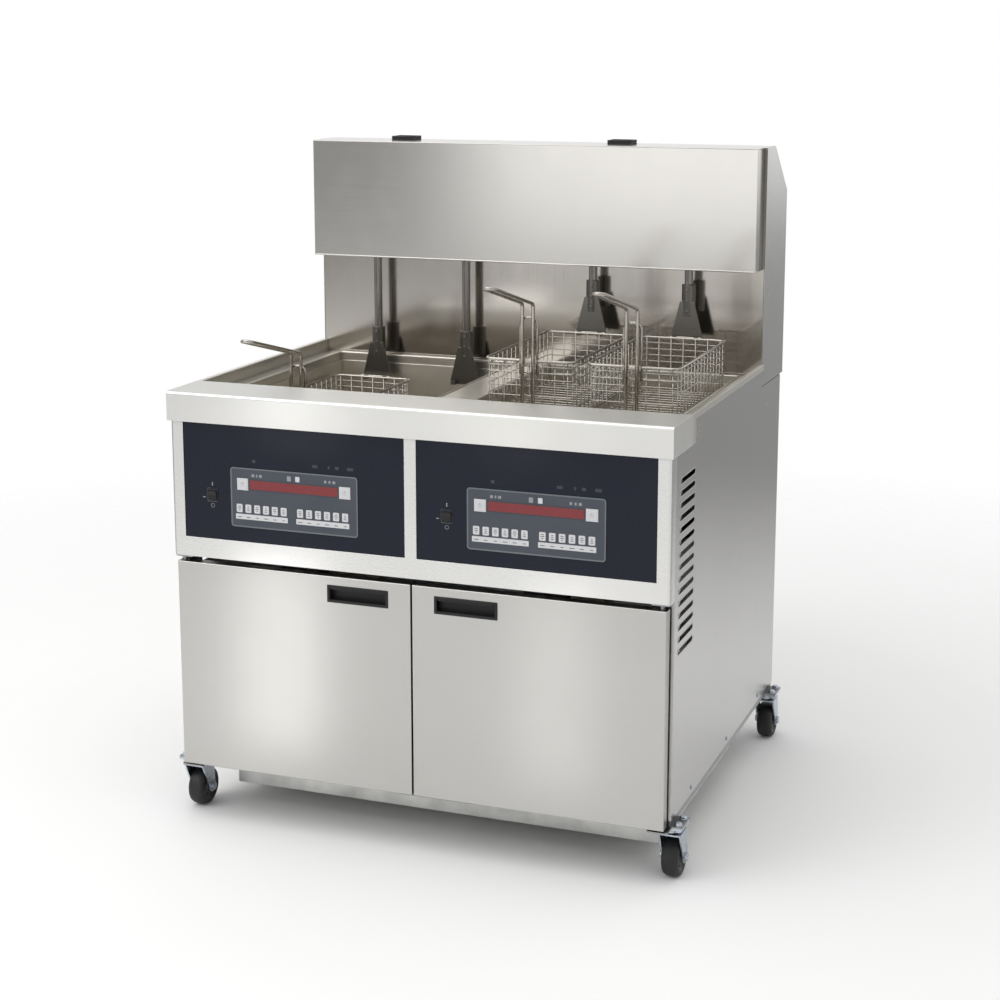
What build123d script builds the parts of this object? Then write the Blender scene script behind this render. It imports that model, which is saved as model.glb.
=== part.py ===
from build123d import *
import math
import os

# Floor-standing gas deep fryer with two wells, four basket lifts, two doors and casters.
# Millimetres. X to the right, Y to the back, Z up, origin on the floor in the middle of the footprint.

os.makedirs("parts", exist_ok=True)

# Deck and cabinet
deck_width = 1020.0
deck_height = 877.0
cabinet_depth = 845.0
splash_setback = 700.0  # door face to backsplash
apron_height = 58.0
apron_proud = 8.0
apron_wrap = 154.0  # how far the apron runs back along each side
deck_lip = 12.0
deck_edge_radius = 6.0
deck_recess = 26.0  # raised rim down to the deck's floor
rim_front = 127.0  # flat landing in front of the sunk floor
rim_side = 10.0
rim_edge_radius = 3.0
deck_front_strip = 190.0  # door face to the wells
deck_rear_strip = 15.0
deck_divider = 80.0
collar_depth = 15.0
collar_step = 4.0
side_reveal = 3.0

# Sheet thicknesses and clearances
sheet = 1.5
deck_sheet = 2.0
vat_sheet = 2.0
frame_sheet = 3.0
fit_gap = 0.5
running_fit = 0.08
hole_gap = 2.0

# Base frame
rail_width = 64.0
rail_height = 40.0
post_width = 40.0
post_top_gap = 60.0  # deck top down to the corner posts
side_bottom_gap = 14.0

# Front frame and control panels
fascia_lap = 30.0  # hidden behind the apron
fascia_corner = 7.0
window_width = 468.0
window_height = 230.0
window_mullion = 24.0
window_bottom_gap = 39.5
panel_plate = 3.0
panel_lap = 8.0
panel_box_depth = 30.0
panel_box_inset = 20.0
keypad_width = 270.0
keypad_height = 118.0
keypad_thickness = 1.2
keypad_shift_x = 3.0
keypad_drop = 26.5
keypad_radius = 6.0
display_width = 187.0
display_height = 17.5
display_rise = 26.5
display_proud = 0.3
button_size = 23.5
button_offset = 108.5
button_proud = 1.6
button_travel = 0.8
button_gap = 0.4
button_tail = 2.5
button_edge_radius = 0.8
switch_offset = 172.5
switch_width = 17.0
switch_height = 21.0
switch_depth = 12.0
switch_proud = 4.0
switch_tilt = 8.0
switch_gap = 1.0

# Doors
door_height = 421.0
door_thickness = 22.0
door_skin = 1.2
door_split = 3.0
door_edge_gap = 7.0
door_bottom_gap = 3.0
door_top_gap = 12.0
door_swing_gap = 8.0
door_edge_radius = 2.0
hinge_inset = 11.0
hinge_pin_radius = 4.0
hinge_pin_reach = 8.0
hinge_plate_width = 40.0
pull_width = 121.0
pull_height = 28.0
pull_depth = 16.0
pull_wall = 2.0
pull_bezel = 3.0
pull_bezel_proud = 1.0
pull_from_split = 49.0
pull_drop = 20.0  # door top down to the pull

# Louvres in the side panels
louvre_length = 104.0
louvre_height = 11.0
louvre_pitch = 23.0
louvre_count = 15
louvre_setback = 24.0
louvre_drop = 215.0  # apron down to the middle of the column

# Baskets and lifts
basket_width = 187.0
basket_length = 380.0
basket_height = 118.0
basket_gap = 23.0
basket_wall_gap = 7.5
basket_wall = 3.0
basket_rim = 6.0
mesh_pitch = 24.0
mesh_bar = 4.0
rim_rise = 60.0  # raised rim above the deck
lift_travel = 125.0
handle_wire = 7.0
handle_width = 22.0
handle_rise = 110.0
handle_reach = 215.0
handle_tilt = 55.0
handle_bend = 20.0
grip_bend = 10.0
brace_wire = 6.0
brace_width = 34.0
brace_rise = 82.0
brace_bend = 13.0
hang_bar_width = 80.0
hang_bar = 6.0
hang_bar_gap = 4.0  # between the hang bar and the hanger plate
hook_width = 10.0
hook_sheet = 3.0
hook_spacing = 46.0
hook_gap = 0.5
rod_radius = 9.0
rod_setback = 40.0  # backsplash to the rod's axis
rod_top_gap = 6.0
hanger_sheet = 3.0
hanger_height = 72.0
hanger_top_width = 30.0
hanger_bottom_width = 66.0
clamp_radius = 14.0
clamp_height = 30.0
gear_module = 1.5
pinion_teeth = 16
pinion_width = 10.0
pinion_shaft = 4.0
pressure_angle = 20.0
addendum_share = 0.8  # of the module
dedendum_share = 1.25
tooth_tip_share = 0.1  # half a tooth's tip, of the pitch
rack_backlash = 0.35
motor_size = 40.0
motor_length = 70.0
motor_gap = 3.0
guide_height = 50.0
guide_width = 32.0
guide_rise = 9.0
guide_gap = 10.0  # guide block up to the motor
drive_plate = 3.0

# Hood, backsplash and rear cover
hood_depth = 58.0
hood_height = 253.0
hood_clearance = 199.0  # deck up to the hood
hood_side_gap = 7.0
splash_lap = 53.0
cover_flat = 74.0
cover_slope_drop = 100.0
rear_overhang = 22.0
cover_bottom_drop = 47.0

# Vats
vat_flange = 8.0
vat_straight = 194.0  # straight wall below the flange
vat_slope = 80.0
vat_zone_width = 140.0
vat_zone_depth = 90.0
drain_setback = 50.0
drain_bore = 17.0

# Gas, flue and filter
pipe_radius = 12.0
pipe_bore = 10.5
nipple_radius = 13.35
nipple_length = 30.0
header_radius = 11.0
gas_stub = 40.0
burner_drop = 15.0  # vat's cold zone top down to the burners
valve_width = 80.0
valve_depth = 44.0
valve_height = 60.0
valve_front_gap = 10.0
burner_tube_radius = 19.0
burner_bar_depth = 16.0
burner_bar_height = 30.0
burner_spacing = 260.0
burner_tail_gap = 42.0
flue_width = 52.0
flue_depth = 44.0
flue_offset = -70.0  # from the well's middle
flue_setback = 22.0  # behind the backsplash
flue_proud = 8.0
plenum_width = 300.0
plenum_height = 80.0
drain_body_radius = 24.0
drain_body_height = 64.0
drain_flange_radius = 32.0
drain_flange = 4.0
drain_outlet_radius = 20.0
drain_outlet_gap = 20.0
stem_radius = 6.0
stem_length = 14.0
stem_boss = 10.0
lever_length = 110.0
lever_width = 16.0
lever_hub = 11.0
lever_thickness = 6.0
lever_end_radius = 5.0
return_radius = 9.0
return_bend = 30.0
return_rise = 60.0  # vat's shoulder up to the manifold
return_reach = 150.0
return_x = 80.0
manifold_radius = 12.0
manifold_gap = 24.0  # vat to the manifold's axis
pump_block_width = 80.0
pump_block_depth = 58.0
pump_height = 100.0
pump_motor_radius = 27.0
pump_motor_length = 180.0

# Filter pan
pan_width = 930.0
pan_front_setback = 134.0
pan_length = 566.0
pan_depth = 78.0
pan_top_gap = 6.0
pan_lip = 8.0
pan_sheet = 2.0
pan_corner = 14.0
pan_rail_sheet = 3.0
pan_rail_flange = 30.0
pan_rail_gap = 2.0
pan_ride_gap = 0.3
pan_handle_width = 160.0
pan_handle_wire = 8.0
pan_handle_reach = 24.0
screen_margin = 40.0
screen_height = 12.0
screen_lift = 4.0
screen_pitch = 56.0
screen_bar = 14.0
screen_skin = 2.0

# Casters
caster_inset = 6.0  # side panel in to the kingpin
caster_plate = 54.0
caster_plate_sheet = 4.0
caster_trail = 20.0
wheel_diameter = 78.0
wheel_width = 34.0
wheel_edge_radius = 6.0
wheel_recess = 4.0
wheel_hub_radius = 13.0
wheel_side_gap = 1.5
fork_sheet = 3.0
fork_top_width = 46.0
fork_foot_radius = 12.0
swivel_radius = 8.0
swivel_ring_height = 12.5
swivel_gap = 0.5
axle_radius = 5.0
axle_head_radius = 8.0
axle_head = 4.5
bolt_edge = 9.5
bolt_radius = 4.0
bolt_head_radius = 6.5
bolt_head = 5.0
pedal_width = 28.0
pedal_length = 64.0
pedal_sheet = 3.0
pedal_pin = 3.0
pedal_hub = 5.5
pedal_back = 2.0  # behind the axle
pedal_wheel_gap = 0.5
pedal_crown_gap = 2.5

# Panel screws
screw_radius = 2.0
screw_head_radius = 4.5
screw_head = 2.0
screw_length = 6.0
screw_gap = 0.05
side_screw_spacing = 280.0
rear_screw_spacing = 200.0

# Places that follow from the sizes above
wheel_radius = wheel_diameter / 2
pedal_z = wheel_diameter + pedal_wheel_gap + pedal_hub
crown_bottom = pedal_z + pedal_hub + pedal_crown_gap
crown_top = crown_bottom + fork_sheet
plate_bottom = crown_top + swivel_gap + swivel_ring_height
caster_height = plate_bottom + caster_plate_sheet
bolt_spacing = caster_plate - 2 * bolt_edge
swivel_ring_radius = bolt_spacing / math.sqrt(2) - bolt_head_radius - hole_gap
overall_depth = apron_proud + door_thickness + door_swing_gap + cabinet_depth + gas_stub
front_y = -overall_depth / 2
door_face = front_y + apron_proud
cabinet_front = door_face + door_thickness + door_swing_gap
cabinet_back = cabinet_front + cabinet_depth
stub_end = cabinet_back + gas_stub
splash_front = door_face + splash_setback
splash_back = splash_front + sheet
hood_front = splash_front - hood_depth
cover_back = cabinet_back + rear_overhang
frame_back = cabinet_back - sheet - fit_gap
deck_half = deck_width / 2
cabinet_half = deck_half - side_reveal
frame_half = cabinet_half - sheet - fit_gap
door_half = cabinet_half - door_edge_gap
frame_bottom = caster_height
door_bottom = frame_bottom + door_bottom_gap
door_top = door_bottom + door_height
fascia_bottom = door_top + door_top_gap
apron_bottom = deck_height - apron_height
deck_under = deck_height - deck_sheet
floor_top = deck_height - deck_recess
floor_under = floor_top - deck_sheet
collar_bottom = floor_under - collar_depth
fascia_top = apron_bottom + fascia_lap
fascia_back = cabinet_front - sheet - fit_gap
hood_bottom = deck_height + hood_clearance
hood_top = hood_bottom + hood_height
hood_half = cabinet_half - hood_side_gap
side_bottom = frame_bottom + side_bottom_gap
side_top = deck_height - deck_lip - hole_gap
cover_bottom = deck_height - cover_bottom_drop
vat_width = 2 * basket_width + basket_gap + 2 * basket_wall_gap
vat_front = door_face + deck_front_strip + collar_step
vat_back = splash_front - deck_rear_strip - collar_step
vat_length = vat_back - vat_front
vat_middle = (vat_front + vat_back) / 2
opening_width = vat_width + 2 * collar_step
opening_length = vat_length + 2 * collar_step
well_x = (deck_divider + opening_width) / 2
vat_shoulder = collar_bottom - vat_straight
vat_zone_top = vat_shoulder - vat_slope
vat_floor = vat_zone_top - vat_zone_depth
panel_face = door_face + sheet
window_x = (window_mullion + window_width) / 2
window_bottom = fascia_bottom + window_bottom_gap
window_z = window_bottom + window_height / 2
keypad_z = window_z - keypad_drop
keypad_face = panel_face - keypad_thickness
hinge_x = door_half - hinge_inset
hinge_y = door_face + door_thickness / 2
basket_pitch = basket_width + basket_gap
rod_y = splash_front - rod_setback
hanger_face = rod_y - rod_radius - hanger_sheet
hang_bar_y = hanger_face - hang_bar_gap - hang_bar / 2
hook_front = hang_bar_y - hang_bar / 2 - hook_gap - hook_sheet
basket_back = hook_front - hang_bar_gap
basket_front = basket_back - basket_length
raised_rim = deck_height + rim_rise
lowered_rim = raised_rim - lift_travel
pinion_z = hood_bottom + guide_rise + guide_height + guide_gap + motor_size / 2
motor_reach = max(rod_radius, pinion_width / 2) + motor_gap
tooth_pitch = math.pi * gear_module
pinion_radius = gear_module * pinion_teeth / 2
tooth_addendum = addendum_share * gear_module
tooth_dedendum = dedendum_share * gear_module
pinion_y = rod_y + rod_radius - tooth_addendum + pinion_radius + rack_backlash / 2
king_x = cabinet_half - caster_inset
king_front = cabinet_front + caster_plate / 2
king_back = frame_back - caster_plate / 2
fork_inner = wheel_width / 2 + wheel_side_gap
fork_outer = fork_inner + fork_sheet
pan_front = door_face + pan_front_setback
pan_back = pan_front + pan_length
pan_top = frame_bottom - pan_top_gap
pan_bottom = pan_top - pan_depth
screw_z = side_bottom + (frame_bottom + rail_height - side_bottom) / 2
gas_height = vat_zone_top - burner_drop
gas_y = cabinet_front + valve_front_gap + valve_depth / 2
valve_back = gas_y + valve_depth / 2

sides = (("left", -1), ("right", 1))
rest_rim = {"lift_1": lowered_rim, "lift_2": lowered_rim, "lift_3": raised_rim, "lift_4": raised_rim}
lift_x = {
    "lift_1": -well_x - basket_pitch / 2,
    "lift_2": -well_x + basket_pitch / 2,
    "lift_3": well_x - basket_pitch / 2,
    "lift_4": well_x + basket_pitch / 2,
}
casters = {
    "front_left": (-king_x, king_front),
    "front_right": (king_x, king_front),
    "rear_left": (-king_x, king_back),
    "rear_right": (king_x, king_back),
}
upright = (Align.CENTER, Align.CENTER, Align.MIN)


def block(x0, x1, y0, y1, z0, z1, mode=Mode.ADD):
    # Box between two corners, given in any order
    with Locations(((x0 + x1) / 2, (y0 + y1) / 2, (z0 + z1) / 2)):
        Box(abs(x1 - x0), abs(y1 - y0), abs(z1 - z0), mode=mode)


def bar(start, direction, radius, length, mode=Mode.ADD):
    # Round bar from a point along a direction
    with Locations(Plane(origin=start, z_dir=direction)):
        Cylinder(radius, length, align=upright, mode=mode)


def save(shape, name):
    shape.label = name
    export_step(shape, f"parts/{name}.step")


side_screws = [
    (side * cabinet_half, cabinet_front + cabinet_depth / 2 + k * side_screw_spacing, screw_z)
    for _, side in sides
    for k in (-1, 0, 1)
]
rear_screws = [((k - 1.5) * rear_screw_spacing, cabinet_back, screw_z) for k in range(4)]


def screw_holes(places, direction):
    # Clearance holes for panel screws, from outside the panel inwards
    for x, y, z in places:
        inward = direction if direction != "x" else (-math.copysign(1, x), 0, 0)
        bar((x, y, z), inward, screw_radius + screw_gap, screw_length + hole_gap, Mode.SUBTRACT)


def bolt_places(x, y):
    half = bolt_spacing / 2
    return [(x + i * half, y + j * half) for i in (-1, 1) for j in (-1, 1)]


# Base frame: four angle rails with tabs for the casters, four corner posts and two rails for the pan
with BuildPart() as base_frame:
    for y0, step in ((cabinet_front, 1), (frame_back, -1)):
        block(
            -frame_half, frame_half, y0, y0 + step * rail_width, frame_bottom,
            frame_bottom + frame_sheet,
        )
        block(
            -frame_half, frame_half, y0, y0 + step * frame_sheet, frame_bottom,
            frame_bottom + rail_height,
        )
    for _, side in sides:
        outer = side * frame_half
        side_front = cabinet_front + rail_width
        side_back = frame_back - rail_width
        block(
            outer, outer - side * rail_width, side_front, side_back, frame_bottom,
            frame_bottom + frame_sheet,
        )
        web_front = cabinet_front + frame_sheet + post_width
        web_back = frame_back - frame_sheet - post_width
        block(
            outer, outer - side * frame_sheet, web_front, web_back, frame_bottom,
            frame_bottom + rail_height,
        )
        for y0, step in ((cabinet_front + frame_sheet, 1), (frame_back - frame_sheet, -1)):
            x0 = outer
            z0 = frame_bottom + frame_sheet
            z1 = deck_height - post_top_gap
            block(x0, x0 - side * post_width, y0, y0 + step * frame_sheet, z0, z1)
            block(x0, x0 - side * frame_sheet, y0, y0 + step * post_width, z0, z1)
        web = side * (pan_width / 2 + pan_rail_gap)
        ledge_top = pan_top - pan_sheet - pan_ride_gap
        rail_start = pan_front + pan_corner
        block(
            web, web + side * pan_rail_flange, rail_start, pan_back, frame_bottom - pan_rail_sheet,
            frame_bottom,
        )
        block(
            web, web + side * pan_rail_sheet, rail_start, pan_back, ledge_top - pan_rail_sheet,
            frame_bottom,
        )
        ledge_in = web - side * (pan_rail_gap + pan_lip / 2)
        block(web, ledge_in, rail_start, pan_back, ledge_top - pan_rail_sheet, ledge_top)
    screw_holes(side_screws, "x")
    screw_holes(rear_screws, (0, -1, 0))
    for x, y in casters.values():
        half = caster_plate / 2
        tab_start = math.copysign(frame_half, x)
        tab_end = x + math.copysign(half, x)
        block(tab_start, tab_end, y - half, y + half, frame_bottom, frame_bottom + frame_sheet)
        for bx, by in bolt_places(x, y):
            bar(
                (bx, by, frame_bottom - hole_gap), (0, 0, 1), bolt_radius + screw_gap,
                frame_sheet + 2 * hole_gap, Mode.SUBTRACT,
            )
save(base_frame.part, "base_frame")

# Side panels: folded front edge, notched under the apron and the end panel, with louvre slots
panel_names = {"left": "left_side_panel", "right": "right_side_panel"}
for label, side in sides:
    panel_front = cabinet_front - sheet
    notch_y = front_y + apron_wrap + hole_gap
    with BuildPart() as side_panel:
        with BuildSketch(Plane.YZ.offset(side * cabinet_half)):
            with BuildLine():
                Polyline(
                    (panel_front, side_bottom),
                    (cabinet_back, side_bottom),
                    (cabinet_back, cover_bottom - hole_gap),
                    (splash_front - hole_gap, cover_bottom - hole_gap),
                    (splash_front - hole_gap, side_top),
                    (notch_y, side_top),
                    (notch_y, apron_bottom - hole_gap),
                    (panel_front, apron_bottom - hole_gap),
                    close=True,
                )
            make_face()
            louvre_y = cabinet_front + louvre_setback + louvre_length / 2
            with Locations((louvre_y, apron_bottom - louvre_drop)):
                with GridLocations(0, louvre_pitch, 1, louvre_count):
                    SlotOverall(louvre_length, louvre_height, mode=Mode.SUBTRACT)
        extrude(amount=-side * sheet)
        fold = side * (cabinet_half - hinge_inset - door_edge_gap)
        block(
            side * cabinet_half, fold, panel_front, cabinet_front, side_bottom,
            apron_bottom - hole_gap,
        )
        screw_holes([place for place in side_screws if place[0] * side > 0], "x")
    save(side_panel.part, panel_names[label])

# Rear panel with the gas pipe's hole
with BuildPart() as rear_panel:
    block(
        -frame_half, frame_half, cabinet_back - sheet, cabinet_back, side_bottom,
        cover_bottom - fit_gap,
    )
    bar(
        (0, cabinet_back + hole_gap, gas_height), (0, -1, 0), pipe_radius + hole_gap,
        sheet + 2 * hole_gap, Mode.SUBTRACT,
    )
    screw_holes(rear_screws, (0, -1, 0))
save(rear_panel.part, "rear_panel")

# Front frame around the two control panels: a folded sheet with round corners, open above and behind
with BuildPart() as front_frame:
    for skin, mode in ((0.0, Mode.ADD), (sheet, Mode.SUBTRACT)):
        front = door_face + skin
        back = fascia_back + 2 * skin
        with BuildSketch(Plane.XY.offset(fascia_bottom + skin)) as plan:
            with Locations((0, (front + back) / 2)):
                Rectangle(2 * (cabinet_half - skin), back - front)
            fillet(plan.vertices().group_by(Axis.Y)[0], fascia_corner - skin)
        extrude(amount=fascia_top - fascia_bottom, mode=mode)
    for _, side in sides:
        x0 = side * window_mullion / 2
        x1 = x0 + side * window_width
        y0 = door_face - hole_gap
        y1 = door_face + sheet + hole_gap
        block(x0, x1, y0, y1, window_bottom, window_bottom + window_height, Mode.SUBTRACT)
save(front_frame.part, "front_frame")

# Top deck: rolled front edge, apron with a hem, side lips, and inside a raised rim a sunk floor
# with two openings with collars
with BuildPart() as top_deck:
    block(-deck_half, deck_half, front_y, splash_front, apron_bottom, deck_height)
    front_edges = top_deck.edges().filter_by(Axis.X).group_by(Axis.Z)[-1].sort_by(Axis.Y)
    fillet(front_edges[0], deck_edge_radius)
    inner_half = deck_half - deck_sheet
    inner_front = front_y + deck_sheet
    inside_back = splash_front + hole_gap
    block(
        -inner_half, inner_half, inner_front, inside_back, apron_bottom - hole_gap, deck_under,
        Mode.SUBTRACT,
    )
    wrap_end = front_y + apron_wrap
    lip_bottom = deck_height - deck_lip
    block(
        -deck_half, deck_half, wrap_end, inside_back, apron_bottom - hole_gap, lip_bottom,
        Mode.SUBTRACT,
    )
    block(
        -inner_half, inner_half, inner_front, door_face - fit_gap, apron_bottom,
        apron_bottom + deck_sheet,
    )
    tray_half = deck_half - rim_side
    tray_front = front_y + rim_front
    block(
        -tray_half - deck_sheet, tray_half + deck_sheet, tray_front - deck_sheet, splash_front,
        floor_under, deck_under,
    )
    block(
        -tray_half, tray_half, tray_front, inside_back, floor_top, deck_height + hole_gap,
        Mode.SUBTRACT,
    )
    rim_edges = top_deck.edges().filter_by_position(Axis.Z, deck_height, deck_height)
    rim_edges = rim_edges.filter_by_position(Axis.X, -tray_half, tray_half)
    fillet(rim_edges.filter_by_position(Axis.Y, tray_front, splash_front), rim_edge_radius)
    for _, side in sides:
        half_x = opening_width / 2
        half_y = opening_length / 2
        x = side * well_x
        grow = deck_sheet
        block(
            x - half_x - grow, x + half_x + grow,
            vat_middle - half_y - grow, vat_middle + half_y + grow,
            collar_bottom, floor_under,
        )
        block(
            x - half_x, x + half_x,
            vat_middle - half_y, vat_middle + half_y,
            collar_bottom - hole_gap, floor_top + hole_gap,
            Mode.SUBTRACT,
        )
save(top_deck.part, "top_deck")


def vat_section(half, zone_half, top, shoulder, zone_top, floor):
    # Half-open trough outline: straight walls, sloped shoulders, narrow cold zone
    return [
        (-half, top),
        (-half, shoulder),
        (-zone_half, zone_top),
        (-zone_half, floor),
        (zone_half, floor),
        (zone_half, zone_top),
        (half, shoulder),
        (half, top),
    ]


# Fry vats, hung by their flanges under the deck's collars
for label, side in sides:
    x = side * well_x
    half = vat_width / 2
    zone = vat_zone_width / 2
    outer_back = Plane(origin=(x, vat_back + vat_sheet, 0), x_dir=(1, 0, 0), z_dir=(0, -1, 0))
    inner_back = Plane(origin=(x, vat_back, 0), x_dir=(1, 0, 0), z_dir=(0, -1, 0))
    slope_shift = vat_sheet / 2
    with BuildPart() as vat:
        with BuildSketch(outer_back):
            with BuildLine():
                Polyline(
                    *vat_section(
                        half + vat_sheet, zone + vat_sheet, collar_bottom,
                        vat_shoulder - slope_shift, vat_zone_top - slope_shift, vat_floor - vat_sheet,
                    ),
                    close=True,
                )
            make_face()
        extrude(amount=vat_length + 2 * vat_sheet)
        rim_x = half + vat_sheet + vat_flange
        rim_y0 = vat_front - vat_sheet - vat_flange
        rim_y1 = vat_back + vat_sheet + vat_flange
        block(x - rim_x, x + rim_x, rim_y0, rim_y1, collar_bottom - vat_sheet, collar_bottom)
        with BuildSketch(inner_back):
            with BuildLine():
                Polyline(
                    *vat_section(
                        half, zone, collar_bottom + hole_gap, vat_shoulder, vat_zone_top, vat_floor,
                    ),
                    close=True,
                )
            make_face()
        extrude(amount=vat_length, mode=Mode.SUBTRACT)
        hole_top = (x, vat_front + drain_setback, vat_floor + hole_gap)
        bar(hole_top, (0, 0, -1), drain_bore, vat_sheet + 2 * hole_gap, Mode.SUBTRACT)
    save(vat.part, f"{label}_vat")

# Burners: a feed bar in front of each vat and two tubes under its shoulders
with BuildPart() as burners:
    for _, side in sides:
        x = side * well_x
        reach = burner_spacing / 2 + burner_tube_radius
        bar_top = gas_height + burner_bar_height / 2
        bar_bottom = gas_height - burner_bar_height / 2
        block(x - reach, x + reach, valve_back, valve_back + burner_bar_depth, bar_bottom, bar_top)
        for k in (-1, 1):
            start = (x + k * burner_spacing / 2, valve_back + burner_bar_depth / 2, gas_height)
            tube_length = vat_back - burner_tail_gap - start[1]
            bar(start, (0, 1, 0), burner_tube_radius, tube_length)
save(burners.part, "burners")

# Gas train: rear inlet pipe with its nipple, front header and one valve per well
with BuildPart() as gas_train:
    bar((0, gas_y, gas_height), (0, 1, 0), pipe_radius, stub_end - gas_y)
    bar((0, stub_end, gas_height), (0, -1, 0), nipple_radius, nipple_length)
    bar((-well_x, gas_y, gas_height), (1, 0, 0), header_radius, 2 * well_x)
    for _, side in sides:
        x = side * well_x
        block(
            x - valve_width / 2, x + valve_width / 2, gas_y - valve_depth / 2, valve_back,
            gas_height - valve_height / 2, gas_height + valve_height / 2,
        )
    bar((0, stub_end, gas_height), (0, -1, 0), pipe_bore, gas_stub, Mode.SUBTRACT)
save(gas_train.part, "gas_train")

# Flues: plenum behind each vat and a stack that ends in a collar above the hood
with BuildPart() as flues:
    for _, side in sides:
        x = side * well_x
        stack_x = x + flue_offset
        stack_front = splash_back + flue_setback
        stack_back = stack_front + flue_depth
        plenum_front = vat_back + vat_sheet
        plenum_bottom = vat_zone_top
        plenum_top = plenum_bottom + plenum_height
        half = plenum_width / 2
        half_stack = flue_width / 2
        block(x - half, x + half, plenum_front, stack_back, plenum_bottom, plenum_top)
        block(
            stack_x - half_stack, stack_x + half_stack, stack_front, stack_back, plenum_top,
            hood_top + flue_proud,
        )
        block(
            x - half + deck_sheet, x + half - deck_sheet, plenum_front, stack_back - deck_sheet,
            plenum_bottom + deck_sheet, plenum_top - deck_sheet, Mode.SUBTRACT,
        )
        block(
            stack_x - half_stack + deck_sheet, stack_x + half_stack - deck_sheet,
            stack_front + deck_sheet, stack_back - deck_sheet,
            plenum_top - deck_sheet, hood_top + flue_proud, Mode.SUBTRACT,
        )
save(flues.part, "flues")

# Backsplash
with BuildPart() as backsplash:
    block(
        -frame_half, frame_half, splash_front, splash_back, deck_height - splash_lap,
        hood_top - sheet - fit_gap,
    )
save(backsplash.part, "backsplash")

# Lift hood: front, top and two sides, open below and behind
with BuildPart() as lift_hood:
    hood_back = splash_front - fit_gap
    block(-hood_half, hood_half, hood_front, hood_back, hood_bottom, hood_top)
    inner = hood_half - sheet
    block(
        -inner, inner, hood_front + sheet, splash_front, hood_bottom - hole_gap, hood_top - sheet,
        Mode.SUBTRACT,
    )
save(lift_hood.part, "lift_hood")

# End panels beside the hood, with the rear cover's slope
slope_y = splash_front + cover_flat
slope_z = hood_top - cover_slope_drop
with BuildPart() as end_panels:
    for _, side in sides:
        with BuildSketch(Plane.YZ.offset(side * cabinet_half)):
            with BuildLine():
                Polyline(
                    (splash_front, cover_bottom),
                    (cover_back, cover_bottom),
                    (cover_back, slope_z),
                    (slope_y, hood_top),
                    (splash_front, hood_top),
                    close=True,
                )
            make_face()
        extrude(amount=-side * sheet)
save(end_panels.part, "end_panels")

# Rear cover: flat top, slope, back and a bottom flange, with the flue holes
with BuildPart() as hood_rear_cover:
    inset = sheet * math.tan(math.atan2(cover_slope_drop, cover_back - slope_y) / 2)
    with BuildSketch(Plane.YZ.offset(-frame_half)):
        with BuildLine():
            Polyline(
                (splash_front, cover_bottom),
                (cover_back, cover_bottom),
                (cover_back, slope_z),
                (slope_y, hood_top),
                (splash_front, hood_top),
                close=True,
            )
        make_face()
        with BuildLine():
            Polyline(
                (splash_front - hole_gap, cover_bottom + sheet),
                (cover_back - sheet, cover_bottom + sheet),
                (cover_back - sheet, slope_z - inset),
                (slope_y - inset, hood_top - sheet),
                (splash_front - hole_gap, hood_top - sheet),
                close=True,
            )
        make_face(mode=Mode.SUBTRACT)
    extrude(amount=2 * frame_half)
    cut_front = splash_front - hole_gap
    cut_top = cover_bottom + 2 * sheet
    block(-frame_half, frame_half, cut_front, cabinet_back, cover_bottom - sheet, cut_top, Mode.SUBTRACT)
    for _, side in sides:
        stack_x = side * well_x + flue_offset
        half_x = flue_width / 2 + hole_gap
        y0 = splash_back + flue_setback - hole_gap
        y1 = splash_back + flue_setback + flue_depth + hole_gap
        block(stack_x - half_x, stack_x + half_x, y0, y1, slope_z, hood_top + hole_gap, Mode.SUBTRACT)
save(hood_rear_cover.part, "hood_rear_cover")

# Control panels: plate behind the frame with an electronics box, button pockets and switch holes
with BuildPart() as control_panels:
    for _, side in sides:
        x = side * window_x
        half_x = window_width / 2
        plate_back = panel_face + panel_plate
        block(
            x - half_x - panel_lap, x + half_x + panel_lap, panel_face, plate_back,
            window_bottom - panel_lap, window_bottom + window_height + panel_lap,
        )
        box_half = half_x - panel_box_inset
        block(
            x - box_half, x + box_half, plate_back, plate_back + panel_box_depth - panel_plate,
            window_bottom + panel_box_inset, window_bottom + window_height - panel_box_inset,
        )
        keypad_x = x + keypad_shift_x
        pocket_back = panel_face + button_tail + button_travel + button_gap
        pocket = button_size / 2 + button_gap
        for k in (-1, 1):
            bx = keypad_x + k * button_offset
            bz = keypad_z + display_rise
            block(
                bx - pocket, bx + pocket, panel_face, pocket_back, bz - pocket, bz + pocket,
                Mode.SUBTRACT,
            )
        sx = x - switch_offset
        hole_x = switch_width / 2 + switch_gap
        hole_z = switch_height / 2 + switch_gap
        switch_back = panel_face + switch_depth + switch_gap
        block(
            sx - hole_x, sx + hole_x, panel_face, switch_back, keypad_z - hole_z, keypad_z + hole_z,
            Mode.SUBTRACT,
        )
save(control_panels.part, "control_panels")

# Keypads: thin plates with openings for the display window and the timer buttons
with BuildPart() as keypads:
    for _, side in sides:
        x = side * window_x + keypad_shift_x
        with BuildSketch(Plane(origin=(x, panel_face, keypad_z), x_dir=(1, 0, 0), z_dir=(0, -1, 0))):
            RectangleRounded(keypad_width, keypad_height, keypad_radius)
            with Locations((0, display_rise)):
                Rectangle(display_width + fit_gap, display_height + fit_gap, mode=Mode.SUBTRACT)
            for k in (-1, 1):
                with Locations((k * button_offset, display_rise)):
                    hole = button_size + 2 * button_gap
                    Rectangle(hole, hole, mode=Mode.SUBTRACT)
        extrude(amount=keypad_thickness)
save(keypads.part, "keypads")

# Display windows in the keypads
with BuildPart() as display_windows:
    for _, side in sides:
        x = side * window_x + keypad_shift_x
        z = keypad_z + display_rise
        half = display_width / 2
        front = keypad_face - display_proud
        block(x - half, x + half, front, panel_face, z - display_height / 2, z + display_height / 2)
save(display_windows.part, "display_windows")

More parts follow.
